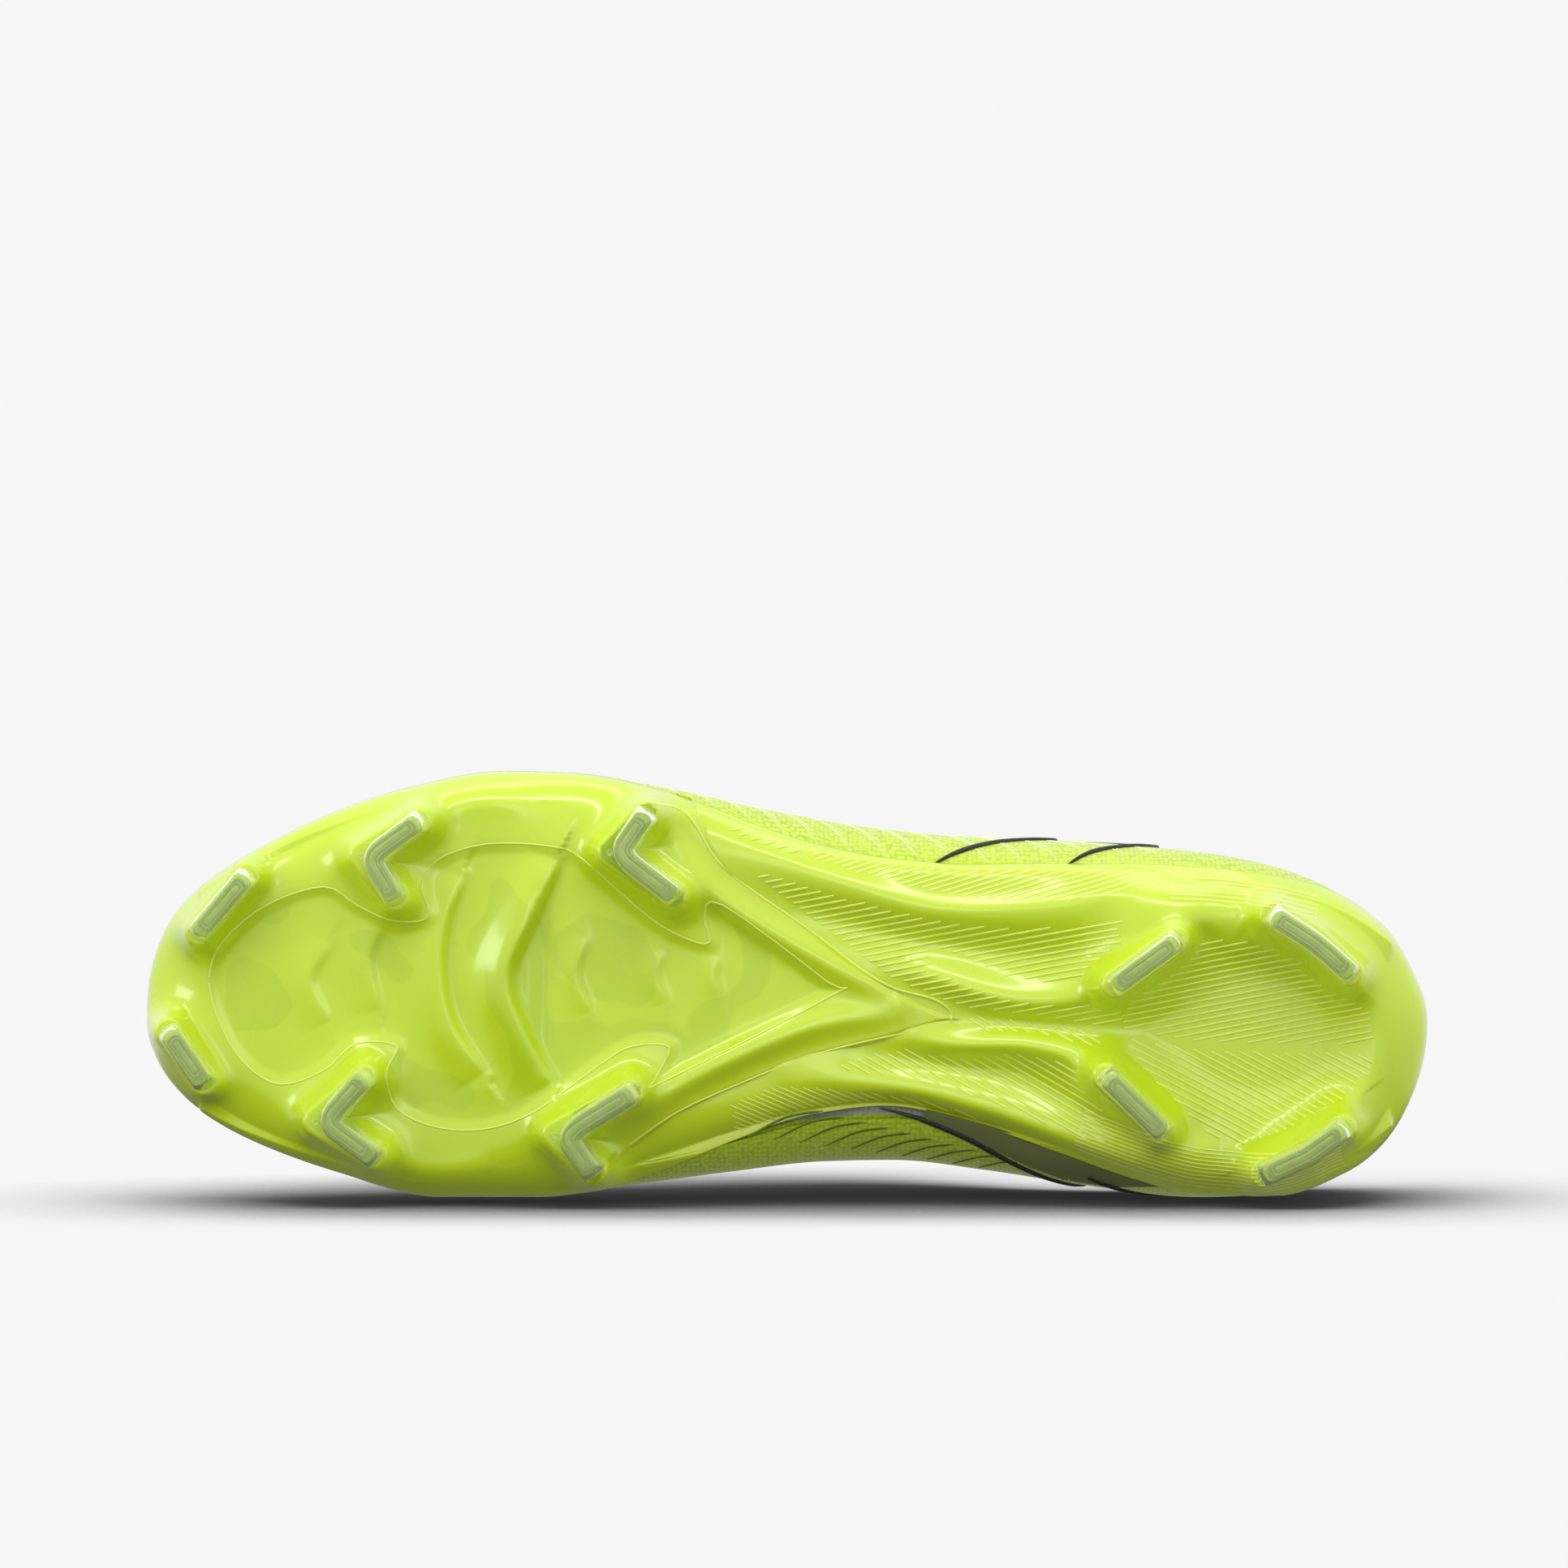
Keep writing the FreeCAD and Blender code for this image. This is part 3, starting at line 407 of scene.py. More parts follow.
def roof_point(x, y, lift):
    """A point over (x, y) that stands off the upper's face by lift."""
    x, y = np.broadcast_arrays(np.asarray(x, float), np.asarray(y, float))
    return np.stack([x, y, roof_z(x, y)], -1) + roof_normal(x, y) * np.asarray(lift)[..., None]


def wall_point(x, z, side):
    """The point of the upper's side wall at (x, z)."""
    return np.stack([x, ridge_y(x) + side * side_width(x, z, side, 0.0), z], -1)


def wall_normal(x, z, side):
    """The side wall's outward direction at (x, z)."""
    forward = wall_point(x + 0.5, z, side) - wall_point(x - 0.5, z, side)
    upward = wall_point(x, z + 0.5, side) - wall_point(x, z - 0.5, side)
    return unit(np.cross(upward, forward) * side)


# ------------------------------------------------------------------ meshes
STITCH_HALF_WIDTH = 0.25
STITCH_HEIGHT = 0.3


def mesh_object(name, points, faces, *materials):
    """A smooth-shaded object from points in millimetres and rows of vertex numbers."""
    points = np.asarray(points, float).reshape(-1, 3)
    faces = np.asarray(faces, int)
    corners = faces.shape[1]
    mesh = bpy.data.meshes.new(name)
    mesh.vertices.add(len(points))
    mesh.vertices.foreach_set("co", (points * MM).astype(np.float32).ravel())
    mesh.loops.add(faces.size)
    mesh.loops.foreach_set("vertex_index", faces.astype(np.int32).ravel())
    mesh.polygons.add(len(faces))
    mesh.polygons.foreach_set("loop_start", (np.arange(len(faces)) * corners).astype(np.int32))
    mesh.polygons.foreach_set("use_smooth", np.ones(len(faces), bool))
    mesh.update(calc_edges=True)
    mesh.validate()
    piece = bpy.data.objects.new(name, mesh)
    bpy.context.scene.collection.objects.link(piece)
    for material in materials:
        mesh.materials.append(material)
    return piece


def grid_faces(rows, columns, wrap_rows=False, wrap_columns=False, flip=False):
    """Quads of a grid of points, closed round its rows or columns where asked."""
    i = np.arange(rows if wrap_rows else rows - 1)
    j = np.arange(columns if wrap_columns else columns - 1)
    i, j = np.meshgrid(i, j, indexing="ij")
    i2, j2 = (i + 1) % rows, (j + 1) % columns
    quads = np.stack([i * columns + j, i2 * columns + j, i2 * columns + j2, i * columns + j2], -1)
    quads = quads.reshape(-1, 4)
    return quads[:, ::-1] if flip else quads


def joined_grids(grids, wrap_rows=False, wrap_columns=False):
    """Points and faces of many grids of one shape, stacked along the first axis."""
    count, rows, columns = grids.shape[:3]
    faces = grid_faces(rows, columns, wrap_rows, wrap_columns)
    offsets = np.arange(count)[:, None, None] * rows * columns
    return grids.reshape(-1, 3), (faces[None] + offsets).reshape(-1, 4)


def closed_sheet(name, face, back, material):
    """A thin closed solid between two grids of one shape."""
    loop = np.concatenate([face, back[::-1]])
    return mesh_object(name, loop, grid_faces(*loop.shape[:2], wrap_rows=True), material)


def store(piece, name, values):
    """Keeps one number per vertex on the mesh, for its material to read."""
    attribute = piece.data.attributes.new(name, "FLOAT", "POINT")
    attribute.data.foreach_set("value", np.asarray(values, np.float32).ravel())


def finish_piece(piece, nodes=(), body="rearfoot"):
    """Hides the parts a rigid piece stands for and puts it on the body it rides on."""
    if nodes:
        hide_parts(*nodes)
    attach(piece, body)
    return piece


def finish_bending(piece, nodes=()):
    """Hides the parts that a piece across the forefoot flex stands for and bakes its placement into its
    mesh.
    """
    if nodes:
        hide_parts(*nodes)
    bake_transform(piece)
    return piece


def raised_strip(points, normals, half_width, height, sink=0.2):
    """Cross-sections of a low rounded strip along points, as a grid of points (along, across)."""
    ahead = unit(np.gradient(points, axis=0))
    across = unit(np.cross(normals, ahead))
    half_width = np.broadcast_to(half_width, len(points))[:, None]
    height = np.broadcast_to(height, len(points))[:, None]
    sections = []
    for turn in np.linspace(0, math.pi, 7):
        lift = math.sin(turn) ** 0.7 * height - (sink if turn in (0, math.pi) else 0.0)
        sections.append(points - across * half_width * math.cos(turn) + normals * lift)
    return np.stack(sections, 1)


def stitch(points, normals):
    """One raised stitch."""
    return raised_strip(points, normals, STITCH_HALF_WIDTH, STITCH_HEIGHT)


def strips_object(name, strips, material):
    """One object from many strips of any length."""
    points, faces, count = [], [], 0
    for strip in strips:
        rows, columns = strip.shape[:2]
        points.append(strip.reshape(-1, 3))
        faces.append(grid_faces(rows, columns) + count)
        count += rows * columns
    return mesh_object(name, np.concatenate(points), np.concatenate(faces), material)


# ------------------------------------------------------------------ materials
def new_material(name):
    """An empty node material and its shader."""
    material = bpy.data.materials.new(name)
    material.use_nodes = True
    nodes = material.node_tree.nodes
    nodes.clear()
    output = nodes.new("ShaderNodeOutputMaterial")
    shader = nodes.new("ShaderNodeBsdfPrincipled")
    material.node_tree.links.new(shader.outputs["BSDF"], output.inputs["Surface"])
    return material, shader


def add_node(material, kind, **settings):
    """A node with its inputs, or its own settings, given by name."""
    node = material.node_tree.nodes.new(kind)
    for key, value in settings.items():
        if key in node.inputs:
            node.inputs[key].default_value = value
        else:
            setattr(node, key, value)
    return node


def set_inputs(shader, **values):
    """Sets inputs of a shader by name, with an underscore for each space."""
    for name, value in values.items():
        shader.inputs[name.replace("_", " ")].default_value = value


def plug(material, value, socket):
    """Links a socket, or sets a plain number or colour on it."""
    if isinstance(value, bpy.types.NodeSocket):
        material.node_tree.links.new(value, socket)
    elif isinstance(value, (int, float)):
        socket.default_value = value
    else:
        socket.default_value = (*value, 1.0)


def place(material):
    """The object's own coordinates."""
    return add_node(material, "ShaderNodeTexCoord").outputs["Object"]


def read(material, name):
    """The number that store() kept on the mesh."""
    return add_node(material, "ShaderNodeAttribute", attribute_name=name).outputs["Fac"]


def noise(material, scale, detail=2.0, roughness=0.5):
    """Soft random tone, from 0 to 1."""
    node = add_node(material, "ShaderNodeTexNoise", Scale=scale, Detail=detail, Roughness=roughness)
    plug(material, place(material), node.inputs["Vector"])
    return node.outputs["Fac"]


def ramp(material, source, stops):
    """Colours read from a tone at the given stops."""
    node = add_node(material, "ShaderNodeValToRGB")
    elements = node.color_ramp.elements
    while len(elements) < len(stops):
        elements.new(0.5)
    for element, (position, colour) in zip(elements, stops):
        element.position = position
        element.color = (*colour, 1.0)
    plug(material, source, node.inputs["Fac"])
    return node.outputs["Color"]


def mix(material, factor, first, second):
    """A blend of two colours."""
    node = add_node(material, "ShaderNodeMix", data_type="RGBA")
    for socket, value in ((node.inputs[0], factor), (node.inputs[6], first), (node.inputs[7], second)):
        plug(material, value, socket)
    return node.outputs[2]


def maths(material, operation, first, second):
    """One arithmetic step on two values."""
    node = add_node(material, "ShaderNodeMath", operation=operation)
    plug(material, first, node.inputs[0])
    plug(material, second, node.inputs[1])
    return node.outputs[0]


def bump(material, shader, height, distance, strength=1.0):
    """Raises the surface a little by a tone."""
    node = add_node(material, "ShaderNodeBump", Strength=strength, Distance=distance)
    plug(material, height, node.inputs["Height"])
    plug(material, node.outputs["Normal"], shader.inputs["Normal"])


VOLT = (0.65, 0.85, 0.014)
VOLT_SHADE = (0.62, 0.82, 0.010)
VOLT_PATCH = (0.52, 0.73, 0.004)
BACKDROP = (0.924, 0.924, 0.924)
BLACK = (0.0, 0.0, 0.0)
WHITE = (1.0, 1.0, 1.0)


def moulded_tpu(name, patches):
    """Glossy, slightly translucent volt plastic; patches of bonding film show through its window."""
    material, shader = new_material(name)
    colour = ramp(material, noise(material, 26.0, 3.0), [(0.3, VOLT), (0.7, VOLT_SHADE)])
    if patches:
        spots = ramp(material, noise(material, 55.0, 1.0, 0.3), [(0.545, BLACK), (0.56, WHITE)])
        covered = maths(material, "MULTIPLY", spots, read(material, "window"))
        colour = mix(material, maths(material, "MULTIPLY", covered, 0.6), colour, VOLT_PATCH)
    plug(material, colour, shader.inputs["Base Color"])
    rough = ramp(material, noise(material, 70.0, 2.0), [(0.3, (0.2, 0.2, 0.2)), (0.7, (0.3, 0.3, 0.3))])
    plug(material, rough, shader.inputs["Roughness"])
    set_inputs(shader, IOR=1.6, Coat_Weight=0.8, Coat_Roughness=0.1, Subsurface_Weight=0.3,
               Subsurface_Radius=(1.0, 1.1, 0.3), Subsurface_Scale=0.0025)
    bump(material, shader, noise(material, 900.0, 2.0), 0.00001, 0.2)
    return material


def clear_tpu():
    """Clear pale-green plastic of the stud tips."""
    material, shader = new_material("stud_clear_tpu")
    colour = ramp(material, noise(material, 120.0), [(0.35, (0.80, 0.92, 0.42)), (0.65, (0.74, 0.88, 0.34))])
    plug(material, colour, shader.inputs["Base Color"])
    set_inputs(shader, Roughness=0.05, IOR=1.3, Transmission_Weight=0.7,
               Coat_Weight=0.4, Coat_Roughness=0.03)
    bump(material, shader, noise(material, 420.0, 2.0), 0.00003, 0.3)
    return material


def stud_core():
    """Olive inner face of the studs, seen through the clear tips."""
    material, shader = new_material("stud_core")
    tone = noise(material, 260.0, 2.0)
    colour = ramp(material, tone, [(0.3, (0.34, 0.47, 0.08)), (0.7, (0.52, 0.66, 0.20))])
    plug(material, colour, shader.inputs["Base Color"])
    set_inputs(shader, Roughness=0.3)
    return material


def woven(name, light, dark, cell, depth, roughness=0.75, sheen=0.25, stretch=(1.0, 1.0, 1.0)):
    """Textile: rows of small rounded cells with darker gaps, slightly uneven in colour."""
    material, shader = new_material(name)
    mapping = add_node(material, "ShaderNodeMapping")
    mapping.inputs["Scale"].default_value = stretch
    plug(material, place(material), mapping.inputs["Vector"])
    cells = add_node(material, "ShaderNodeTexVoronoi", Scale=1.0 / cell, Randomness=0.35)
    plug(material, mapping.outputs["Vector"], cells.inputs["Vector"])
    distance = cells.outputs["Distance"]
    colour = ramp(material, distance, [(0.25, light), (0.72, dark)])
    tint = ramp(material, noise(material, 60.0, 3.0), [(0.3, (0.86, 0.86, 0.86)), (0.7, WHITE)])
    shaded = add_node(material, "ShaderNodeMix", data_type="RGBA", blend_type="MULTIPLY")
    shaded.inputs[0].default_value = 1.0
    plug(material, colour, shaded.inputs[6])
    plug(material, tint, shaded.inputs[7])
    plug(material, shaded.outputs[2], shader.inputs["Base Color"])
    set_inputs(shader, Roughness=roughness, Sheen_Weight=sheen, Sheen_Roughness=0.4)
    raised = maths(material, "SUBTRACT", 1.0, distance)
    bump(material, shader, raised, depth, 0.8)
    return material


def moulded(name, light, dark, roughness, grain):
    """Plain moulded or filmed surface with a fine grain."""
    material, shader = new_material(name)
    colour = ramp(material, noise(material, 45.0, 3.0), [(0.3, light), (0.7, dark)])
    plug(material, colour, shader.inputs["Base Color"])
    set_inputs(shader, Roughness=roughness)
    bump(material, shader, noise(material, 1500.0, 2.0), grain, 0.5)
    return material


def knit_skin():
    """The upper's knit under a thin clear skin, with a dotted relief and paler strands."""
    material, shader = new_material("upper_knit")
    cells = add_node(material, "ShaderNodeTexVoronoi", Scale=950.0, Randomness=0.5)
    plug(material, place(material), cells.inputs["Vector"])
    distance = cells.outputs["Distance"]
    colour = ramp(material, distance, [(0.12, (0.68, 0.84, 0.05)), (0.38, (0.60, 0.80, 0.025)),
                                        (0.75, (0.42, 0.61, 0.008))])
    plug(material, colour, shader.inputs["Base Color"])
    set_inputs(shader, Roughness=0.42, Coat_Weight=0.35, Coat_Roughness=0.25, Sheen_Weight=0.2)
    raised = maths(material, "SUBTRACT", 1.0, distance)
    bump(material, shader, raised, 0.00018, 0.7)
    return material


def floor_material():
    """Pale floor seen from one side only: the backdrop's colour, darker where the shoe shades it."""
    material = bpy.data.materials.new("floor")
    material.use_nodes = True
    tree = material.node_tree
    tree.nodes.clear()
    output = tree.nodes.new("ShaderNodeOutputMaterial")
    shade = add_node(material, "ShaderNodeAmbientOcclusion", samples=12, Distance=0.075)
    tone = ramp(material, shade.outputs["AO"], [(0.0, (0.02, 0.02, 0.02)), (0.42, (0.06, 0.06, 0.06)),
                                                (0.70, (0.36, 0.36, 0.36)), (0.96, BACKDROP)])
    seen = add_node(material, "ShaderNodeLightPath").outputs["Is Camera Ray"]
    glow = add_node(material, "ShaderNodeEmission")
    plug(material, mix(material, seen, (0.10, 0.10, 0.10), tone), glow.inputs["Color"])
    clear = add_node(material, "ShaderNodeBsdfTransparent")
    backfacing = add_node(material, "ShaderNodeNewGeometry").outputs["Backfacing"]
    front = maths(material, "SUBTRACT", 1.0, backfacing)
    blend = add_node(material, "ShaderNodeMixShader")
    plug(material, maths(material, "MULTIPLY", front, read(material, "fade")), blend.inputs[0])
    plug(material, clear.outputs[0], blend.inputs[1])
    plug(material, glow.outputs[0], blend.inputs[2])
    plug(material, blend.outputs[0], output.inputs["Surface"])
    return material


# ------------------------------------------------------------------ camera, light and floor
CAMERA_DISTANCE = 1.3
CAMERA_AIM = (0.0002, 0.0440, 0.016)
PICTURE_WIDTH = 0.3442
# name, place, size, power
LIGHTS = [("above_sole", (0.05, 0.85, -0.50), (1.2, 0.10), 2.3),
          ("overhead", (0.0, 0.9, 0.25), (1.0, 0.3), 1.2),
          ("toe_side", (0.95, 0.25, -0.45), (0.3, 0.5), 1.5),
          ("camera_fill", (-0.25, 0.30, -1.2), (0.7, 0.5), 1.0),
          ("upright_key", (0.3, -0.45, 0.95), (0.8, 0.6), 5.0),
          ("upright_back", (-0.7, -0.5, 0.5), (0.5, 0.5), 3.0)]
# brightness of the studio's walls: on the shoe's inner side, all round, and on its outer side
STUDIO = [(-1.0, 0.08), (-0.3, 0.52), (0.1, 0.84), (1.0, 0.88)]


def camera_and_light():
    """The sole faces the camera, and the shoe lies on its inner side on a pale floor."""
    scene = bpy.context.scene
    scene.view_settings.view_transform = "Standard"
    camera = bpy.data.cameras.new("camera")
    camera.lens = 36.0 * CAMERA_DISTANCE / PICTURE_WIDTH
    holder = bpy.data.objects.new("camera", camera)
    scene.collection.objects.link(holder)
    holder.location = (CAMERA_AIM[0], CAMERA_AIM[1], CAMERA_AIM[2] - CAMERA_DISTANCE)
    holder.rotation_euler = (0, math.pi, 0)
    scene.camera = holder

    world = bpy.data.worlds.new("studio")
    scene.world = world
    world.use_nodes = True
    tree = world.node_tree
    tree.nodes.clear()
    seen = tree.nodes.new("ShaderNodeBackground")
    seen.inputs[0].default_value = (*BACKDROP, 1)
    lighting = tree.nodes.new("ShaderNodeBackground")
    lighting.inputs[0].default_value = (1, 1, 1, 1)
    direction = tree.nodes.new("ShaderNodeTexCoord")
    parts = tree.nodes.new("ShaderNodeSeparateXYZ")
    tree.links.new(direction.outputs["Generated"], parts.inputs[0])
    curve = tree.nodes.new("ShaderNodeFloatCurve")
    tree.links.new(parts.outputs["Y"], curve.inputs["Value"])
    points = curve.mapping.curves[0].points
    curve.mapping.clip_min_x = -1.0
    points[0].location, points[1].location = STUDIO[0], STUDIO[-1]
    for place_on, bright in STUDIO[1:-1]:
        points.new(place_on, bright)
    curve.mapping.update()
    tree.links.new(curve.outputs[0], lighting.inputs[1])
    rays = tree.nodes.new("ShaderNodeLightPath")
    choose = tree.nodes.new("ShaderNodeMixShader")
    output = tree.nodes.new("ShaderNodeOutputWorld")
    tree.links.new(rays.outputs["Is Camera Ray"], choose.inputs[0])
    tree.links.new(lighting.outputs[0], choose.inputs[1])
    tree.links.new(seen.outputs[0], choose.inputs[2])
    tree.links.new(choose.outputs[0], output.inputs[0])

    for name, where, size, power in LIGHTS:
        light = bpy.data.lights.new(name, "AREA")
        light.shape = "RECTANGLE"
        light.size, light.size_y = size
        light.energy = power
        lamp = bpy.data.objects.new(name, light)
        scene.collection.objects.link(lamp)
        lamp.location = where
        lamp.rotation_euler = (-lamp.location).to_track_quat("-Z", "Y").to_euler()
        lamp.visible_glossy = not name.startswith("upright")


def fading_floor(name, centre, across, along, reach, solid):
    """A flat grid that fades from its middle to its edge."""
    steps = 40
    share = np.linspace(-1, 1, steps)
    u, v = np.meshgrid(share, share, indexing="ij")
    points = (np.array(centre) + u[..., None] * np.array(across) * reach[0]
              + v[..., None] * np.array(along) * reach[1])
    piece = mesh_object(name, points, grid_faces(steps, steps), FLOOR)
    edge = np.maximum(np.abs(u), np.abs(v))
    store(piece, "fade", 1 - smoothstep(solid, 1.0, edge))
    return piece


FLOOR = floor_material()
camera_and_light()
side_floor = fading_floor("floor_under_side", (0, -48.4, 40), (1, 0, 0), (0, 0, -1), (230, 130), 0.72)
side_floor.visible_shadow = False
ground = fading_floor("floor_under_studs", (0, 0, -0.2), (1, 0, 0), (0, 1, 0), (230, 150), 0.6)
ground.visible_diffuse = False
ground.visible_glossy = False
ground.visible_transmission = False
ground.visible_shadow = False

PLATE = moulded_tpu("plate_tpu", True)
CHASSIS = moulded_tpu("chassis_tpu", False)
# lighter, paler volt for the raised ribs and lines: a painted highlight on their crests
PAINTED_HIGHLIGHT_RIBS = moulded("rib_tpu_painted_highlight", (0.80, 0.95, 0.16), (0.76, 0.92, 0.12), 0.25, 0.00001)
CLEAR = clear_tpu()
CORE = stud_core()
# darker olive for the sunken grooves of the stud cores: painted shade
CORE_GROOVE_SHADE = moulded("stud_core_groove_shade", (0.17, 0.27, 0.04), (0.25, 0.36, 0.07), 0.35, 0.00001)
KNIT = knit_skin()
LINING = woven("lining_mesh", (0.36, 0.50, 0.05), (0.20, 0.30, 0.02), 0.0011, 0.00025)
RIB_KNIT = woven("rib_knit", (0.60, 0.80, 0.06), (0.36, 0.54, 0.03), 0.0012, 0.0004, stretch=(1.0, 1.0, 0.5))
TONGUE_KNIT = woven("tongue_knit", (0.60, 0.80, 0.07), (0.40, 0.60, 0.03), 0.0014, 0.0004)
WEBBING = woven("webbing", (0.045, 0.05, 0.04), (0.015, 0.017, 0.012), 0.0009, 0.0003, 0.8, 0.3)
LACE = woven("lace_braid", (0.62, 0.82, 0.08), (0.36, 0.54, 0.03), 0.0009, 0.0003, stretch=(1.0, 0.6, 1.0))
SOCK = woven("sock_textile", (0.05, 0.055, 0.045), (0.02, 0.022, 0.018), 0.0010, 0.0002)
CORD = woven("support_cord", (0.028, 0.030, 0.022), (0.008, 0.009, 0.006), 0.0006, 0.0002, 0.45, 0.1)
FOAM = woven("foam", (0.22, 0.28, 0.05), (0.15, 0.20, 0.03), 0.0008, 0.0002, 0.9, 0.0)
BOARD = woven("strobel_fibre", (0.62, 0.62, 0.58), (0.45, 0.45, 0.42), 0.0012, 0.0002, 0.95, 0.0)
EYESTAY = moulded("eyestay_film", (0.46, 0.66, 0.03), (0.42, 0.62, 0.025), 0.38, 0.00002)
EYELET = moulded("eyelet_metal", (0.05, 0.055, 0.045), (0.035, 0.04, 0.03), 0.3, 0.00001)
STIFFENER = moulded("stiffener", (0.34, 0.46, 0.05), (0.28, 0.40, 0.04), 0.6, 0.00002)
AIR_FILM = moulded("air_film", (0.75, 0.88, 0.55), (0.68, 0.82, 0.48), 0.2, 0.00001)
# dark colour for the inner waist's grooves: painted shade, laid on thin raised strips
GROOVE_SHADE = moulded("groove_painted_shade", (0.17, 0.25, 0.015), (0.12, 0.19, 0.012), 0.6, 0.00002)
STREAK = moulded("pale_strand", (0.86, 0.93, 0.62), (0.78, 0.90, 0.45), 0.4, 0.00002)
BAND = moulded("olive_band", (0.21, 0.24, 0.08), (0.15, 0.18, 0.05), 0.6, 0.00006)
INSIDE_PARTS = {"heel_pad": FOAM, "heel_counter": STIFFENER, "toe_puff": STIFFENER}
for node_name, node_material in INSIDE_PARTS.items():
    node_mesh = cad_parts[node_name].data
    node_mesh.materials.clear()
    node_mesh.materials.append(node_material)


# ------------------------------------------------------------------ sole plates
def clustered(count):
    """Shares from 0 to 1 that crowd together at both ends."""
    t = np.linspace(0, 1, count)
    return 0.5 * t + 0.5 * (1 - np.cos(math.pi * t)) / 2


def turned_in(edge, inward, lift):
    """An edge of the plate moved towards the middle of the shoe and up."""
    x, y = edge[:, 0], edge[:, 1]
    towards = unit(np.stack([np.clip(x, -112, 112) - x, ridge_y(x) - y, np.zeros_like(x)], -1))
    return edge + towards * inward + np.array([0.0, 0.0, lift])


def flared(points):
    """Swells the plate's rim out beyond the upper, round the heel and at the toe."""
    x = points[..., 0]
    distance, _, _ = near_line(x, points[..., 1], PLATE_RING)
    near_rim = 1 - smoothstep(0.0, 6.0, distance)
    shift = near_rim * (TOE_FLARE * smoothstep(110, 135, x) - HEEL_FLARE * smoothstep(-112, -136, x))
    return np.stack([x + shift, points[..., 1], points[..., 2]], -1)


def plate_piece(name, xs, low_y, high_y, rows, rear, material):
    """A moulded plate between two plan edges, with a lip turned in along both."""
    share = clustered(rows)
    low, high = low_y(xs), high_y(xs)
    y = low[:, None] + (high - low)[:, None] * share[None, :]
    x = np.repeat(xs[:, None], rows, axis=1)
    z = sole_height(x, y, rear)
    points = np.stack([x, y, z], -1)
    before = [turned_in(points[:, 0], *step) for step in LIP]
    after = [turned_in(points[:, -1], *step) for step in LIP]
    points = np.concatenate([np.stack(before[::-1], 1), points, np.stack(after, 1)], axis=1)
    tip = 0 if rear else -1
    ends = [turned_in(points[tip], *step) for step in LIP]
    points = np.concatenate([ends[::-1], points] if rear else [points, ends])
    faces = grid_faces(points.shape[0], points.shape[1], flip=True)
    piece = mesh_object(name, flared(points), faces, material)
    px, py = points[..., 0], points[..., 1]
    distance, _, _ = near_line(px, py, WINDOW_RING)
    store(piece, "window", np.where(inside(px, py, WINDOW_LOOP), smoothstep(1.0, 3.0, distance), 0.0))
    return piece


def forefoot_plate():
    """The smooth plate under the forefoot, with its V-shaped tail."""
    t = np.linspace(0, 1, 330)
    reach = HALF_LENGTH - 0.05 - TAIL_TIP_X
    xs = TAIL_TIP_X + reach * (0.35 * t + 0.65 * np.sin(t * math.pi / 2))

    def low(x):
        return np.where(x < 42, tail_medial_y(x), plate_medial_y(x))

    def high(x):
        return np.where(x < 26, tail_lateral_y(x), plate_lateral_y(x))

    piece = plate_piece("forefoot_sole_plate", xs, low, high, 200, False, PLATE)
    finish_bending(piece, ("forefoot_plate", "forefoot_plate_flex_zone", "forefoot_plate_tail"))


def heel_chassis():
    """The ribbed plate from the waist to the heel."""
    t = np.linspace(0, 1, 300)
    front_x = 46.0
    reach = front_x + HALF_LENGTH - 0.05
    xs = (front_x - reach * (0.35 * t + 0.65 * np.sin(t * math.pi / 2)))[::-1]
    piece = plate_piece("ribbed_heel_chassis", xs, plate_medial_y, plate_lateral_y, 180, True, CHASSIS)
    finish_piece(piece, ("heel_chassis",))


# ------------------------------------------------------------------ ribs of the chassis (mm)
MEETING_LINE = [(-36, -5.4), (-49, -7.0), (-61, -8.6), (-74, -10.4), (-90, -13.2), (-131, -14.2)]
WING_CREST = [(22, 34.5), (4, 28.4), (-11.2, 23.3), (-24.3, 19.8), (-35.6, 17.2), (-49.8, 15.8), (-64, 16.4),
              (-78, 18.6), (-92, 19.6), (-104, 18.6)]
INNER_CREST = [(-31, 6.6), (-36, 4.6), (-41.3, 2.3), (-49.8, -0.8), (-58.3, -1.9), (-66.9, -1.1), (-74, 2)]
MEDIAL_CREST = [(-30, -12.4), (-38, -13.4), (-52, -12.8), (-64, -15.6), (-72, -22)]
MEDIAL_WING = [(8, -19.8), (-14, -21.4), (-33, -24.2), (-59, -33.5), (-78, -40.2), (-100, -43.4)]
BOWL = [(-80, 5), (-92, 9.6), (-104, 9), (-113, 5), (-122, -0.5), (-128.6, -7), (-130.2, -13), (-127.6, -20),
        (-122, -25), (-112, -30.6), (-102, -34.8), (-92, -32), (-84, -24), (-76, -15), (-74, -6)]
RIB_STEP = 1.3


def hatch(angle, pitch, half_width, height, mask):
    """Parallel raised ribs at an angle over the chassis, wherever mask allows them."""
    turn = math.radians(angle)
    ahead = np.array([-math.cos(turn), math.sin(turn)])
    across = np.array([math.sin(turn), math.cos(turn)])
    station = np.arange(-60, 150, RIB_STEP)
    runs = []
    for row in np.arange(-90, 90, pitch):
        route = station[:, None] * ahead + row * across
        allowed = mask(route[:, 0], route[:, 1])
        edges = np.flatnonzero(np.diff(np.concatenate([[0], allowed.astype(int), [0]])))
        runs += [route[a:b] for a, b in zip(edges[::2], edges[1::2]) if b - a >= 3]
    return [(run, half_width, height) for run in runs]


def following(line, offsets, x_range, half_width, height):
    """Raised lines that run beside a plan line, each at its own distance from it."""
    run = spline(line, 24)
    run = run[(run[:, 0] > x_range[0]) & (run[:, 0] < x_range[1])]
    sideways = unit(np.gradient(run, axis=0))[:, ::-1] * np.array([-1, 1])
    return [(run + sideways * offset, half_width, height) for offset in offsets]


def beside(x, y, line):
    """Signed distance to a plan line drawn from toe to heel: positive on its medial side."""
    distance, side, _ = near_line(x, y, spline(line, 5))
    return distance * side


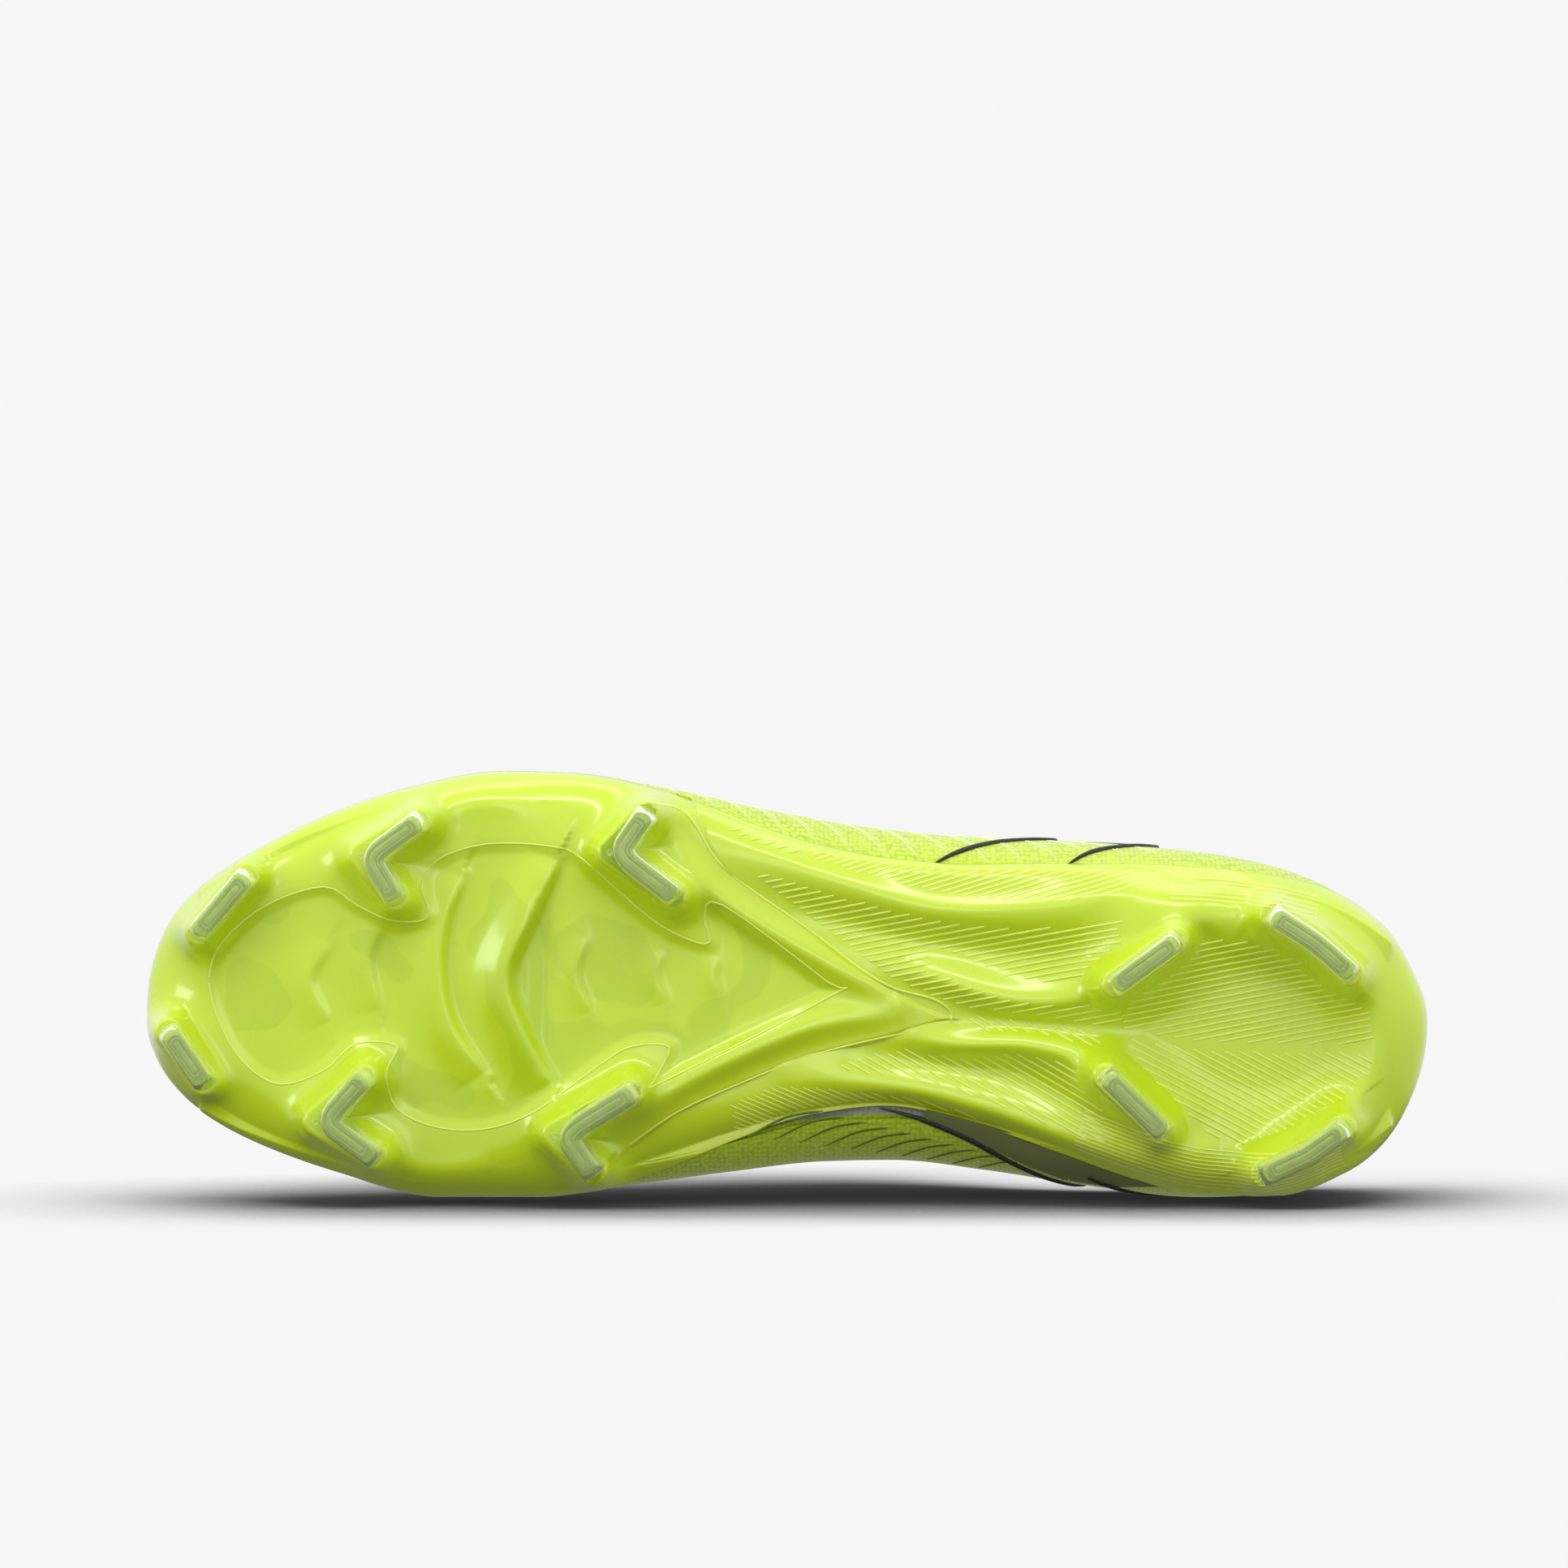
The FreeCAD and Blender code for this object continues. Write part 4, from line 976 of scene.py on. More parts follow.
def off_studs(x, y, room):
    """True where a point is further than room from every stud."""
    clear = np.ones(x.shape, bool)
    for _, _, line, _ in STUDS:
        clear &= near_line(x, y, np.array(line, float))[0] > room
    return clear


def on_chassis(x, y, margin):
    """True on the chassis, away from its rim and from the plate's tail."""
    distance, _, _ = near_line(x, y, PLATE_RING)
    tail = inside(x, y, TAIL_LOOP)
    edge = near_line(x, y, TAIL_EDGE)[0]
    return inside(x, y, PLATE_LOOP) & (distance > margin) & ~tail & (edge > 2.0)


def lateral_channel(x, y):
    """Where the coarse ribs of the outer half lie."""
    wing = beside(x, y, WING_CREST)
    inner = beside(x, y, INNER_CREST)
    allowed = on_chassis(x, y, 1.5) & off_studs(x, y, 6.0) & (beside(x, y, MEETING_LINE) < -0.7)
    allowed &= ((wing > 3.4) | (wing < -2.0)) & (x < 12) & (x > -74)
    return allowed & ((inner < -2.2) | (inner > 2.6) | (x > -32)) & ((wing > 0) | (x > -4))


def lateral_wing(x, y):
    """Where the fine ribs beyond the outer wing lie."""
    return on_chassis(x, y, 1.2) & (beside(x, y, WING_CREST) < -2.4) & (x < -6) & (x > -84)


def medial_field(x, y):
    """Where the coarse ribs of the inner half lie."""
    ridge = np.abs(beside(x, y, MEDIAL_CREST))
    wing = beside(x, y, MEDIAL_WING)
    allowed = on_chassis(x, y, 1.5) & off_studs(x, y, 6.0) & (beside(x, y, MEETING_LINE) > 0.7)
    return allowed & (ridge > 2.4) & (wing < -2.2) & (x < 16) & (x > -70)


def medial_wing(x, y):
    """Where the fine ribs beyond the inner wing lie."""
    return on_chassis(x, y, 1.0) & (beside(x, y, MEDIAL_WING) > 1.8) & (x < 12) & (x > -46)


def bowl_lateral(x, y):
    """The heel bowl's outer half."""
    return inside(x, y, BOWL_LOOP) & off_studs(x, y, 5.4) & (beside(x, y, MEETING_LINE) < -0.8)


def bowl_medial(x, y):
    """The heel bowl's inner half."""
    return inside(x, y, BOWL_LOOP) & off_studs(x, y, 5.4) & (beside(x, y, MEETING_LINE) > 0.8)


BOWL_LOOP = spline(BOWL, 5, closed=True)


def raised_on_sole(route, across, half_width, height, foot, rear):
    """Cross-sections of raised lines on the sole's relief, as a grid of points (along, across)."""
    sections = []
    for shift, lift in ((-1.0, foot), (-0.55, 0.75), (0.0, 1.0), (0.55, 0.75), (1.0, foot)):
        spot = route + across * half_width * shift
        z = sole_height(spot[:, 0], spot[:, 1], rear)
        sections.append(np.column_stack([spot, z - height * lift]))
    return np.stack(sections, 1)


def chassis_ribs():
    """All raised ribs of the chassis, as one piece, coloured a lighter volt as a painted highlight on their
    crests.
    """
    runs = hatch(10.5, 1.41, 0.30, 0.34, lateral_channel)
    runs += hatch(16.5, 1.05, 0.26, 0.16, lateral_wing)
    runs += hatch(-30.0, 1.42, 0.26, 0.20, medial_field)
    runs += hatch(-24.0, 1.0, 0.22, 0.12, medial_wing)
    runs += hatch(10.8, 1.36, 0.26, 0.26, bowl_lateral)
    runs += hatch(-28.0, 1.44, 0.26, 0.24, bowl_medial)
    outer = [point for point in PLATE_MEDIAL if -131 < point[0] < -40]
    runs += following(outer, [-2.2 - 0.85 * k for k in range(11)], (-124, -62), 0.2, 0.10)
    outer = [point for point in PLATE_LATERAL if -131 < point[0] < -70]
    runs += following(outer, [2.2 + 0.95 * k for k in range(6)], (-126, -84), 0.2, 0.10)
    routes = [route for route, _, _ in runs]
    joined = np.concatenate(routes)
    cut = np.cumsum([len(route) for route in routes])[:-1]
    ahead = np.concatenate([unit(np.gradient(route, axis=0)) for route in routes])
    across = ahead[:, ::-1] * np.array([1, -1])
    half_width = np.concatenate([np.full(len(route), width) for route, width, _ in runs])
    taper = [np.sin(math.pi * np.linspace(0.04, 0.96, len(route))) ** 0.5 for route in routes]
    height = np.concatenate([tall * fade for fade, (_, _, tall) in zip(taper, runs)])
    grid = flared(raised_on_sole(joined, across, half_width[:, None], height, -0.12, True))
    piece = strips_object("chassis_ribs", np.split(grid, cut), PAINTED_HIGHLIGHT_RIBS)
    finish_piece(piece)


def plate_lines():
    """Fine raised lines on the forefoot plate: along its tail's edge and round its window, coloured a
    lighter volt as a painted highlight.
    """
    strips = []
    tail_line = spline([(30, 40.2), (21.6, 37.6), (13.2, 25.6), (-5.2, 12.2), (-21.4, 0.4), (-33.4, -3.6),
                        (-36.6, -7.4), (-33, -10.2), (-24, -11.2), (-6, -15.6), (12, -22.6), (24, -28.2),
                        (34, -35)], 14)
    fine = np.vstack([a + (b - a) * t for a, b in zip(WINDOW_RING, WINDOW_RING[1:]) for t in (0, 0.5)])
    for route, half_width, tall in ((tail_line, 0.32, 0.26), (fine, 0.26, 0.2)):
        ahead = unit(np.gradient(route, axis=0))
        across = ahead[:, ::-1] * np.array([1, -1])
        strips.append(raised_on_sole(route, across, half_width, tall, -0.4, False))
    finish_bending(strips_object("plate_raised_lines", strips, PAINTED_HIGHLIGHT_RIBS))


# ------------------------------------------------------------------ stud tips (mm)
def stud_outline(line, reach, pull, steps=14):
    """Plan outline at a distance round a stud's crest, with rounded ends and bend."""
    crest = np.array(line, float)
    start, end = unit(crest[0] - crest[1]), unit(crest[-1] - crest[-2])
    crest[0] = crest[0] + start * pull
    crest[-1] = crest[-1] + end * pull
    if len(crest) == 3:
        t = np.linspace(0, 1, 19)[:, None]
        bend = crest[1] + 0.18 * ((crest[0] + crest[2]) / 2 - crest[1])
        near, far = bend + 0.32 * (crest[0] - bend), bend + 0.32 * (crest[2] - bend)
        turn = (1 - t) ** 2 * near + 2 * t * (1 - t) * bend + t * t * far
        crest = np.vstack([crest[0], turn, crest[2]])
    ahead = unit(np.gradient(crest, axis=0))
    normal = ahead[:, ::-1] * np.array([-1, 1])
    left, right = crest + normal * reach, (crest - normal * reach)[::-1]

    def cap(centre, direction):
        base = math.atan2(direction[1], direction[0])
        turn = np.linspace(math.pi / 2, -math.pi / 2, steps)[1:-1]
        flat = 0.55
        out = np.column_stack([np.cos(turn) * flat, np.sin(turn)]) * reach
        spin = np.array([[math.cos(base), math.sin(base)], [-math.sin(base), math.cos(base)]])
        return centre + out @ spin

    return np.vstack([left, cap(crest[-1], ahead[-1]), right, cap(crest[0], -ahead[0])])


# rings of a stud: height over the tip, distance from the crest, and lengthening of the crest's ends
CAP_RINGS = ((TIP_HEIGHT + 0.8, 3.0, 0.3), (TIP_HEIGHT - 0.4, 2.85, 0.1), (2.6, 2.6, -0.3),
             (1.0, 2.35, -0.7), (0.3, 2.15, -0.9), (0.0, 1.85, -1.2), (0.0, 1.1, -1.7))
CORE_RINGS = ((1.0, 0.02, -3.2), (1.0, 0.70, -2.9), (1.3, 0.74, -2.9), (1.3, 0.92, -2.7), (1.0, 0.96, -2.7),
              (1.0, 1.26, -2.4), (1.3, 1.3, -2.4), (1.3, 1.48, -2.2), (1.1, 1.54, -2.1),
              (TIP_HEIGHT + 0.6, 1.9, -1.4))
# rings of the core's two grooves, painted darker as their shade, and the round mark's radii and heights
CORE_GROOVES = (1, 2, 3, 5, 6, 7)
DOT_RINGS = ((0.85, 1.35), (0.8, 1.05), (0.6, 0.95), (0.45, 1.2), (0.02, 1.2))


def stud_rings(line, tip_z, profile):
    """Outlines round a stud's crest, one for each ring of its profile."""
    rings = []
    for lift, reach, pull in profile:
        outline = stud_outline(line, reach, pull)
        rings.append(np.column_stack([outline, np.full(len(outline), tip_z + lift)]))
    return np.stack(rings)


def stud_tip(name, body, line, tip_z):
    """A clear rounded cap over an olive core, whose grooves carry painted shade, with a small round mark of
    the mould.
    """
    shell = stud_rings(line, tip_z, CAP_RINGS)
    count = shell.shape[1]
    crest_line = np.array([np.column_stack([stud_outline(line, 0.02, -1.7), np.full(count, tip_z)])])
    grid = np.concatenate([shell, crest_line])
    faces = [grid_faces(len(grid), count, wrap_columns=True)]
    core = stud_rings(line, tip_z, CORE_RINGS)
    faces.append(grid_faces(len(core), count, wrap_columns=True)[:, ::-1] + grid.shape[0] * count)
    turn = np.linspace(0, 2 * math.pi, 13)[:-1]
    middle = np.array(line[1] if len(line) == 3 else np.mean(line, axis=0), float)
    dot = np.stack([np.column_stack([middle + radius * np.column_stack([np.cos(turn), np.sin(turn)]),
                                     np.full(len(turn), tip_z + lift)])
                    for radius, lift in DOT_RINGS])
    first = grid.shape[0] * count + core.shape[0] * count
    faces.append(grid_faces(len(DOT_RINGS), len(turn), wrap_columns=True) + first)
    points = np.concatenate([grid.reshape(-1, 3), core.reshape(-1, 3), dot.reshape(-1, 3)])
    piece = mesh_object("stud_" + name, points, np.concatenate(faces), CLEAR, CORE, CORE_GROOVE_SHADE)
    ring = np.arange(len(faces[1])) // count
    slots = np.zeros(sum(len(part) for part in faces), np.int32)
    slots[len(faces[0]):len(faces[0]) + len(faces[1])] = np.where(np.isin(ring, CORE_GROOVES), 2, 1)
    piece.data.polygons.foreach_set("material_index", slots)
    finish_piece(piece, ("stud_tip_" + name,), body)


# ------------------------------------------------------------------ upper (mm)
UPPER_COLUMNS = 240
UPPER_ROWS = 84
KNIT_THICKNESS = 1.6


def ring_shares(per_side):
    """Shares and sides once round the shoe, from the heel along its outer side."""
    ahead = np.linspace(0, 1, per_side, endpoint=False)
    back = np.linspace(1, 0, per_side, endpoint=False)
    share = np.concatenate([ahead, back])
    side = np.concatenate([np.ones(per_side), -np.ones(per_side)])
    return share, side


def opening(point):
    """True over the lacing slot and over the collar's top edge."""
    x, y, z = point[..., 0], point[..., 1], point[..., 2]
    nose = THROAT_FRONT_X - THROAT_HALF_WIDTH
    off = np.abs(y - ridge_y(x))
    round_front = np.hypot(x - nose, off) < THROAT_HALF_WIDTH
    slot = np.where(x < nose, off < THROAT_HALF_WIDTH, round_front) & (x > -60)
    return (slot & (z > 50)) | (z > topline_z(x) - 1.0)


def top_edge(share, side, grow):
    """Height at which each column of the ring meets an opening."""
    levels = np.linspace(38, 112, 260)
    is_open = opening(ring_point(share[:, None], side[:, None], levels[None, :], grow))
    first = np.argmax(is_open, axis=1)
    low, high = levels[np.maximum(first - 1, 0)], levels[first]
    for _ in range(14):
        middle = (low + high) / 2
        hit = opening(ring_point(share, side, middle, grow))
        low, high = np.where(hit, low, middle), np.where(hit, middle, high)
    return (low + high) / 2


def skin_normal(points, side):
    """Outward normals of the upper's skin, from the slope of its width along and up."""
    x, z = points[..., 0], points[..., 2]
    step = 0.1
    along = side_width(x + step, z, side, 0.0) - side_width(x - step, z, side, 0.0)
    along = along + side * (ridge_y(x + step) - ridge_y(x - step))
    up = side_width(x, z + step, side, 0.0) - side_width(x, z - step, side, 0.0)
    return unit(np.stack([-along / (2 * step), side * np.ones_like(x), -up / (2 * step)], -1))


def upper_knit():
    """The knitted upper as one skin, inside and outside, from the sole to its openings."""
    share, side = ring_shares(UPPER_COLUMNS)
    top = top_edge(share, side, 0.0)
    low = np.full(share.shape, 18.0)
    for _ in range(6):
        foot = ring_point(share, side, low, 0.0)[..., 0]
        low = sole_z(foot) + 3.0 + 4.5 * smoothstep(-112, -130, foot)
    rise = np.linspace(0, 1, UPPER_ROWS)
    z = low[None, :] + (top - low)[None, :] * rise[:, None]
    outer = ring_point(share[None, :], side[None, :], z, 0.0)
    inner = outer - KNIT_THICKNESS * skin_normal(outer, side[None, :])
    points = np.concatenate([outer, inner[::-1]])
    faces = grid_faces(*points.shape[:2], wrap_columns=True, flip=True)
    piece = mesh_object("upper_knit", points, faces, KNIT)
    finish_bending(piece, ("vamp", "vamp_flex_zone", "quarter_lateral", "quarter_medial"))


def tapered(count, widest, start=0.15, end=0.3):
    """Half widths of a cord that is thin at both ends."""
    share = np.linspace(0, 1, count)
    return widest * np.clip(np.minimum(start + 5 * share, end + 4 * (1 - share)), 0, 1)


def wall_strip(route, side, half_width, height, per_span=8):
    """A strip on the side of the upper through its (x, z) points."""
    path = spline(route, per_span)
    x, z = path[:, 0], path[:, 1]
    width = tapered(len(path), half_width)
    return raised_strip(wall_point(x, z, side), wall_normal(x, z, side), width, height)


def belly_strip(route, half_width, height, lift=0.0):
    """A strip on the upper's underside through its plan points."""
    path = spline(route, 8)
    x, y = path[:, 0], path[:, 1]
    z = belly_z(x, y)
    slope_x = (belly_z(x + 0.4, y) - belly_z(x - 0.4, y)) / 0.8
    slope_y = (belly_z(x, y + 0.4) - belly_z(x, y - 0.4)) / 0.8
    normals = unit(np.stack([slope_x, slope_y, -np.ones_like(x)], -1))
    points = np.stack([x, y, z], -1) + normals * lift
    return raised_strip(points, normals, tapered(len(path), half_width), height)


# support cords, each through its (x, z) points on the side of the shoe, from the plate upwards
CORDS_LATERAL = [[(-31.5, 20), (-38, 24), (-46, 28.5), (-55, 33.5), (-60, 39), (-59, 47), (-52, 56),
                  (-42, 64)],
                 [(-62, 20.5), (-68, 25), (-76, 30), (-81, 35.5), (-83, 41), (-79, 47.5), (-68, 54)]]
CORDS_MEDIAL = [[(-21, 16.6), (-32, 18.6), (-43.6, 21.5), (-56, 27.5), (-64, 34), (-67, 42), (-64, 51),
                 (-56, 60)],
                [(-67, 24), (-74, 28), (-81, 33), (-86, 40), (-85, 48), (-76, 54)]]
CORD_HALF_WIDTH = 0.7
CORD_HEIGHT = 0.65


def support_cords():
    """Dark cords from the plate up to the lacing, on both sides."""
    for name, side, routes, node in (("cords_lateral", 1, CORDS_LATERAL, "support_cords_lateral"),
                                     ("cords_medial", -1, CORDS_MEDIAL, "support_cords_medial")):
        strips = [wall_strip(route, side, CORD_HALF_WIDTH, CORD_HEIGHT) for route in routes]
        finish_piece(strips_object(name, strips, CORD), (node,))


def pale_strands():
    """Pale slanted strands knitted into the outer side, and a few on the inner side."""
    strips = []
    for x in np.arange(34, -84, -7.5):
        foot = 19.5 + 0.06 * abs(x)
        strips.append(wall_strip([(x + 13, foot + 21), (x + 5, foot + 12), (x - 4, foot)], 1, 0.18, 0.12))
        strips.append(wall_strip([(x + 8, foot + 17), (x + 2, foot + 9), (x - 3, foot + 3)], 1, 0.12, 0.10))
    finish_bending(strips_object("pale_strands", strips, STREAK))


def feather_grooves():
    """Curved grooves on the inner waist, fanned forwards from the cord, drawn as thin dark strips: painted
    shade of the grooves.
    """
    strips = []
    for k in range(10):
        t = k / 8
        upper = np.array([-8.4 - 38.6 * t, -27.8 - 10.2 * t])
        lower = np.array([8.0 - 45.3 * t, -33.4 - 5.8 * t - 0.9 * t * t])
        span = lower - upper
        middle = upper + np.array([0.55, 0.30]) * span
        early = upper + np.array([0.25, 0.08]) * span
        strips.append(belly_strip([upper, early, middle, lower], 0.3, 0.10, 0.05))
    finish_piece(strips_object("feather_grooves", strips, GROOVE_SHADE))


def olive_band():
    """A greyish band between the medial cord and the plate's edge."""
    xs = np.linspace(-31, -84, 60)
    rear_y = float(plate_medial_y(-84)) + 0.5
    cord_x = [22, 32, 43.6, 54, 64, 70, 84]
    cord_y = np.interp(-xs, cord_x, [-26.8, -30.8, -35.5, -40.6, -44.6, -45.4, rear_y])
    t = np.linspace(0, 1, 12)
    x = np.repeat(xs[:, None], len(t), 1)
    y = (plate_medial_y(xs) + 0.5)[:, None] * (1 - t) + cord_y[:, None] * t
    points = np.stack([x, y, belly_z(x, y) - 0.14], -1)
    finish_piece(mesh_object("olive_band", points, grid_faces(len(xs), len(t)), BAND))


# ------------------------------------------------------------------ collar, lining and insole (mm)
COLLAR_LOW_Z = 50.0
COLLAR_FRONT_X = -30.0
COLLAR_INSET = 1.75
COLLAR_LINING = 0.6
HEEL_LINING_INSET = 3.1
HEEL_LINING = 0.7
COLLAR_STITCH_DROP = 4.0


def collar_columns(per_side):
    """Shares and sides of the ring from the collar's inner front, round the heel, to its outer front."""
    reach = np.linspace(0, 0.5, 400)
    columns = []
    for side in (-1, 1):
        sides = np.full(reach.shape, side)
        top = top_edge(reach, sides, 0.0)
        x = ring_point(reach, sides, top, 0.0)[:, 0]
        last = reach[x < COLLAR_FRONT_X].max()
        columns.append(last * np.linspace(0, 1, per_side))
    share = np.concatenate([columns[0][::-1], columns[1][1:]])
    side = np.concatenate([-np.ones(per_side), np.ones(per_side - 1)])
    return share, side


def outward(grid):
    """Horizontal outward normals of a grid (rows, columns) whose columns run round the heel."""
    ahead = np.gradient(grid, axis=1)
    return unit(np.stack([-ahead[..., 1], ahead[..., 0], np.zeros_like(ahead[..., 0])], -1))


def wall_grid(low, top, rows, share, side):
    """Points (rows, columns) on the upper's skin between two heights given for each column."""
    rise = np.linspace(0, 1, rows)[:, None]
    z = low + (top - low) * rise
    return ring_point(share[None, :], side[None, :], z, 0.0)


def collar():
    """Padded collar, its lining and the rolled knit edge."""
    share, side = collar_columns(70)
    top = top_edge(share, side, 0.0)
    rows = 26
    grid = wall_grid(COLLAR_LOW_Z, top - 0.6, rows, share, side)
    normal = outward(grid)
    rise = np.linspace(0, 1, rows)[:, None, None]
    ends = np.sin(math.pi * np.clip(np.linspace(0.02, 0.98, len(share)), 0, 1))[None, :, None] ** 0.35
    bulge = (0.5 + 2.6 * np.sin(math.pi * rise ** 0.8) ** 0.8) * ends
    back = grid - normal * COLLAR_INSET
    front = back - normal * bulge
    cushion = closed_sheet("collar_cushion", back, front, FOAM)
    finish_piece(cushion, ("collar_padding_lateral", "collar_padding_medial"))
    skin = front - normal * 0.15
    lining = closed_sheet("collar_lining_knit", skin, skin - normal * COLLAR_LINING, LINING)
    finish_piece(lining, ("collar_lining",))
    run = np.linspace(0, 1, len(share))
    size = (0.3 + 0.7 * smoothstep(0.0, 0.13, np.minimum(run, 1 - run)))[:, None]
    edge = grid[-1] - normal[-1] * 2.0 * size
    turns = np.linspace(0, 2 * math.pi, 15)[:-1]
    sections = [edge + size * (normal[-1] * 2.5 * math.cos(a) * (1.0 if math.cos(a) > 0 else 1.15)
                               + np.array([0, 0, 1]) * (1.9 * math.sin(a) - 0.4)) for a in turns]
    binding = mesh_object("collar_edge", np.stack(sections, 1),
                          grid_faces(len(edge), 14, wrap_columns=True), RIB_KNIT)
    finish_piece(binding, ("collar_binding",))
    stitches = []
    seam = ring_point(share, side, top - COLLAR_STITCH_DROP, 0.0)
    for start in range(2, len(share) - 3):
        run = seam[start:start + 2]
        span = run[1] - run[0]
        points = run[0] + span * np.linspace(0.1, 0.75, 4)[:, None]
        out = unit(np.array([-span[1], span[0], 0.0]))
        out = out if np.dot(out, normal[-1][start]) > 0 else -out
        stitches.append(stitch(points, np.tile(out, (4, 1))))
    finish_piece(strips_object("collar_stitching", stitches, STREAK))


def heel_lining():
    """The lining from the insole up to the padded collar, round the heel."""
    share, side = ring_shares(150)
    keep = ring_point(share, side, np.full(share.shape, 30.0), 0.0)[:, 0] < -48
    order = np.concatenate([np.flatnonzero(keep & (side < 0)), np.flatnonzero(keep & (side > 0))])
    share, side = share[order], side[order]
    low = sole_z(ring_point(share, side, np.full(share.shape, 25.0), 0.0)[:, 0]) + 10.9
    rows = 24
    around = np.linspace(-1, 1, len(share))
    top = low + (COLLAR_LOW_Z + 2.5 - low) * np.sqrt(np.clip(1.001 - np.abs(around) ** 5, 0, 1))
    grid = wall_grid(low, top, rows, share, side)
    normal = outward(grid)
    skin = grid - normal * HEEL_LINING_INSET
    piece = closed_sheet("heel_lining_knit", skin, skin - normal * HEEL_LINING, LINING)
    finish_piece(piece, ("heel_lining",))


def sole_layer(name, grow, low, high, x_range, material, node, crown=0.0):
    """A layer inside the shoe that follows the sole between two heights over it."""
    xs = np.linspace(*x_range, 120)
    middle = sole_z(xs) + (low + high) / 2
    stretch = (HALF_LENGTH + grow) / HALF_LENGTH
    back = -HALF_LENGTH * stretch + heel_lean(middle)
    front = HALF_LENGTH * stretch - toe_tuck(middle)
    xs = xs[(xs > back + 0.6) & (xs < front - 0.6)]
    middle = sole_z(xs) + (low + high) / 2
    left = ridge_y(xs) + side_width(xs, middle, 1.0, grow)
    right = ridge_y(xs) - side_width(xs, middle, -1.0, grow)
    t = clustered(26)
    y = right[:, None] * (1 - t) + left[:, None] * t
    x = np.repeat(xs[:, None], len(t), 1)
    dome = crown * (4 * t * (1 - t)) ** 0.3 - crown
    upper = np.stack([x, y, sole_z(x) + high + dome], -1)
    under = np.stack([x, y, sole_z(x) + low], -1)
    loop = np.concatenate([upper, under[:, ::-1]], 1)
    piece = mesh_object(name, loop, grid_faces(*loop.shape[:2], wrap_columns=True), material)
    finish_bending(piece, (node,))
    return piece


def insole():
    """The layers under the foot, from the air cushion up to the fabric cover."""
    sole_layer("air_cushion", -4.6, 2.5, 5.5, (-74, 116), AIR_FILM, "air_unit", 0.8)
    sole_layer("strobel_sheet", -2.0, 5.6, 6.8, (-140, 140), BOARD, "strobel_board")
    foam = sole_layer("sockliner_cushion", -1.7, 6.8, 10.0, (-140, 140), FOAM, "sockliner_foam")
    sole_layer("sockliner_fabric", -1.7, 10.0, 10.6, (-140, 140), SOCK, "sockliner_cover")


# ------------------------------------------------------------------ tongue and lacing (mm)
EYELET_STATIONS = [40.0, 28.5, 17.0, 5.5, -6.0, -16.0]
EYELET_OFFSET = 17.5
EYELET_RING = 2.45
EYELET_TUBE = 0.6
EYESTAY_BACK_X = -18.0
TONGUE_HALF_WIDTH = 21.0


def tongue():
    """Padded knit tongue under the laces, with its free, rounded top."""
    rows, columns = 90, 34
    t = np.linspace(0, 1, rows)
    xs = 53 - 90.5 * t
    tip = np.clip((-26 - xs) / 11.6, 0, 1)
    rounding = np.sqrt(np.clip(1 - 0.95 * tip ** 3, 0.02, 1))
    half = TONGUE_HALF_WIDTH * rounding * (0.75 + 0.25 * smoothstep(0, 0.15, t))
    across = np.sin(np.linspace(-math.pi / 2, math.pi / 2, columns))
    x = np.repeat(xs[:, None], columns, 1)
    y = ridge_y(xs)[:, None] + half[:, None] * across
    swell = (1 - across ** 6) * np.sqrt(np.clip(1 - tip ** 6, 0.0, 1))[:, None]
    rows_of_quilting = 0.35 * np.abs(np.sin(xs * math.pi / 9.0))[:, None] ** 0.5
    quilting = rows_of_quilting * (np.abs(across) < 0.9) * (xs < -20)[:, None]
    outer = roof_point(x, y, -3.4 + 1.2 * swell + quilting)
    inner = roof_point(x, y, -3.5 - 1.3 * swell)
    loop = np.concatenate([outer, inner[:, ::-1]], 1)
    piece = mesh_object("tongue_padded", loop, grid_faces(rows, 2 * columns, wrap_columns=True), TONGUE_KNIT)
    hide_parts("tongue", "tongue_top")
    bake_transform(piece)


# cross-section of an eyestay: distance from the slot's middle and height over the knit
EYESTAY_SECTION = ((11.2, -0.5), (11.25, 0.6), (11.7, 0.9), (14, 0.95), (17.5, 0.95), (21, 0.95),
                   (23.3, 0.9), (23.8, 0.6), (23.9, -0.5))
EYESTAY_STEPS = 70
STITCH_PITCH = 2.6
STITCH_LENGTH = 1.8


def throat_side(side, reach, count):
    """Plan points along one side of the lacing slot, round to its front, at a distance from its middle."""
    nose = THROAT_FRONT_X - THROAT_HALF_WIDTH
    straight = np.linspace(EYESTAY_BACK_X, nose, count)
    turn = np.linspace(0, math.radians(86), count // 2)[1:]
    narrowed = reach - (reach - THROAT_HALF_WIDTH - 2.5) * (turn / turn[-1]) ** 2
    narrowed = np.where(reach > THROAT_HALF_WIDTH + 2.5, narrowed, reach)
    x = np.concatenate([straight, nose + narrowed * np.sin(turn)])
    off = np.concatenate([np.full(count, reach), narrowed * np.cos(turn)])
    return x, ridge_y(x) + side * off


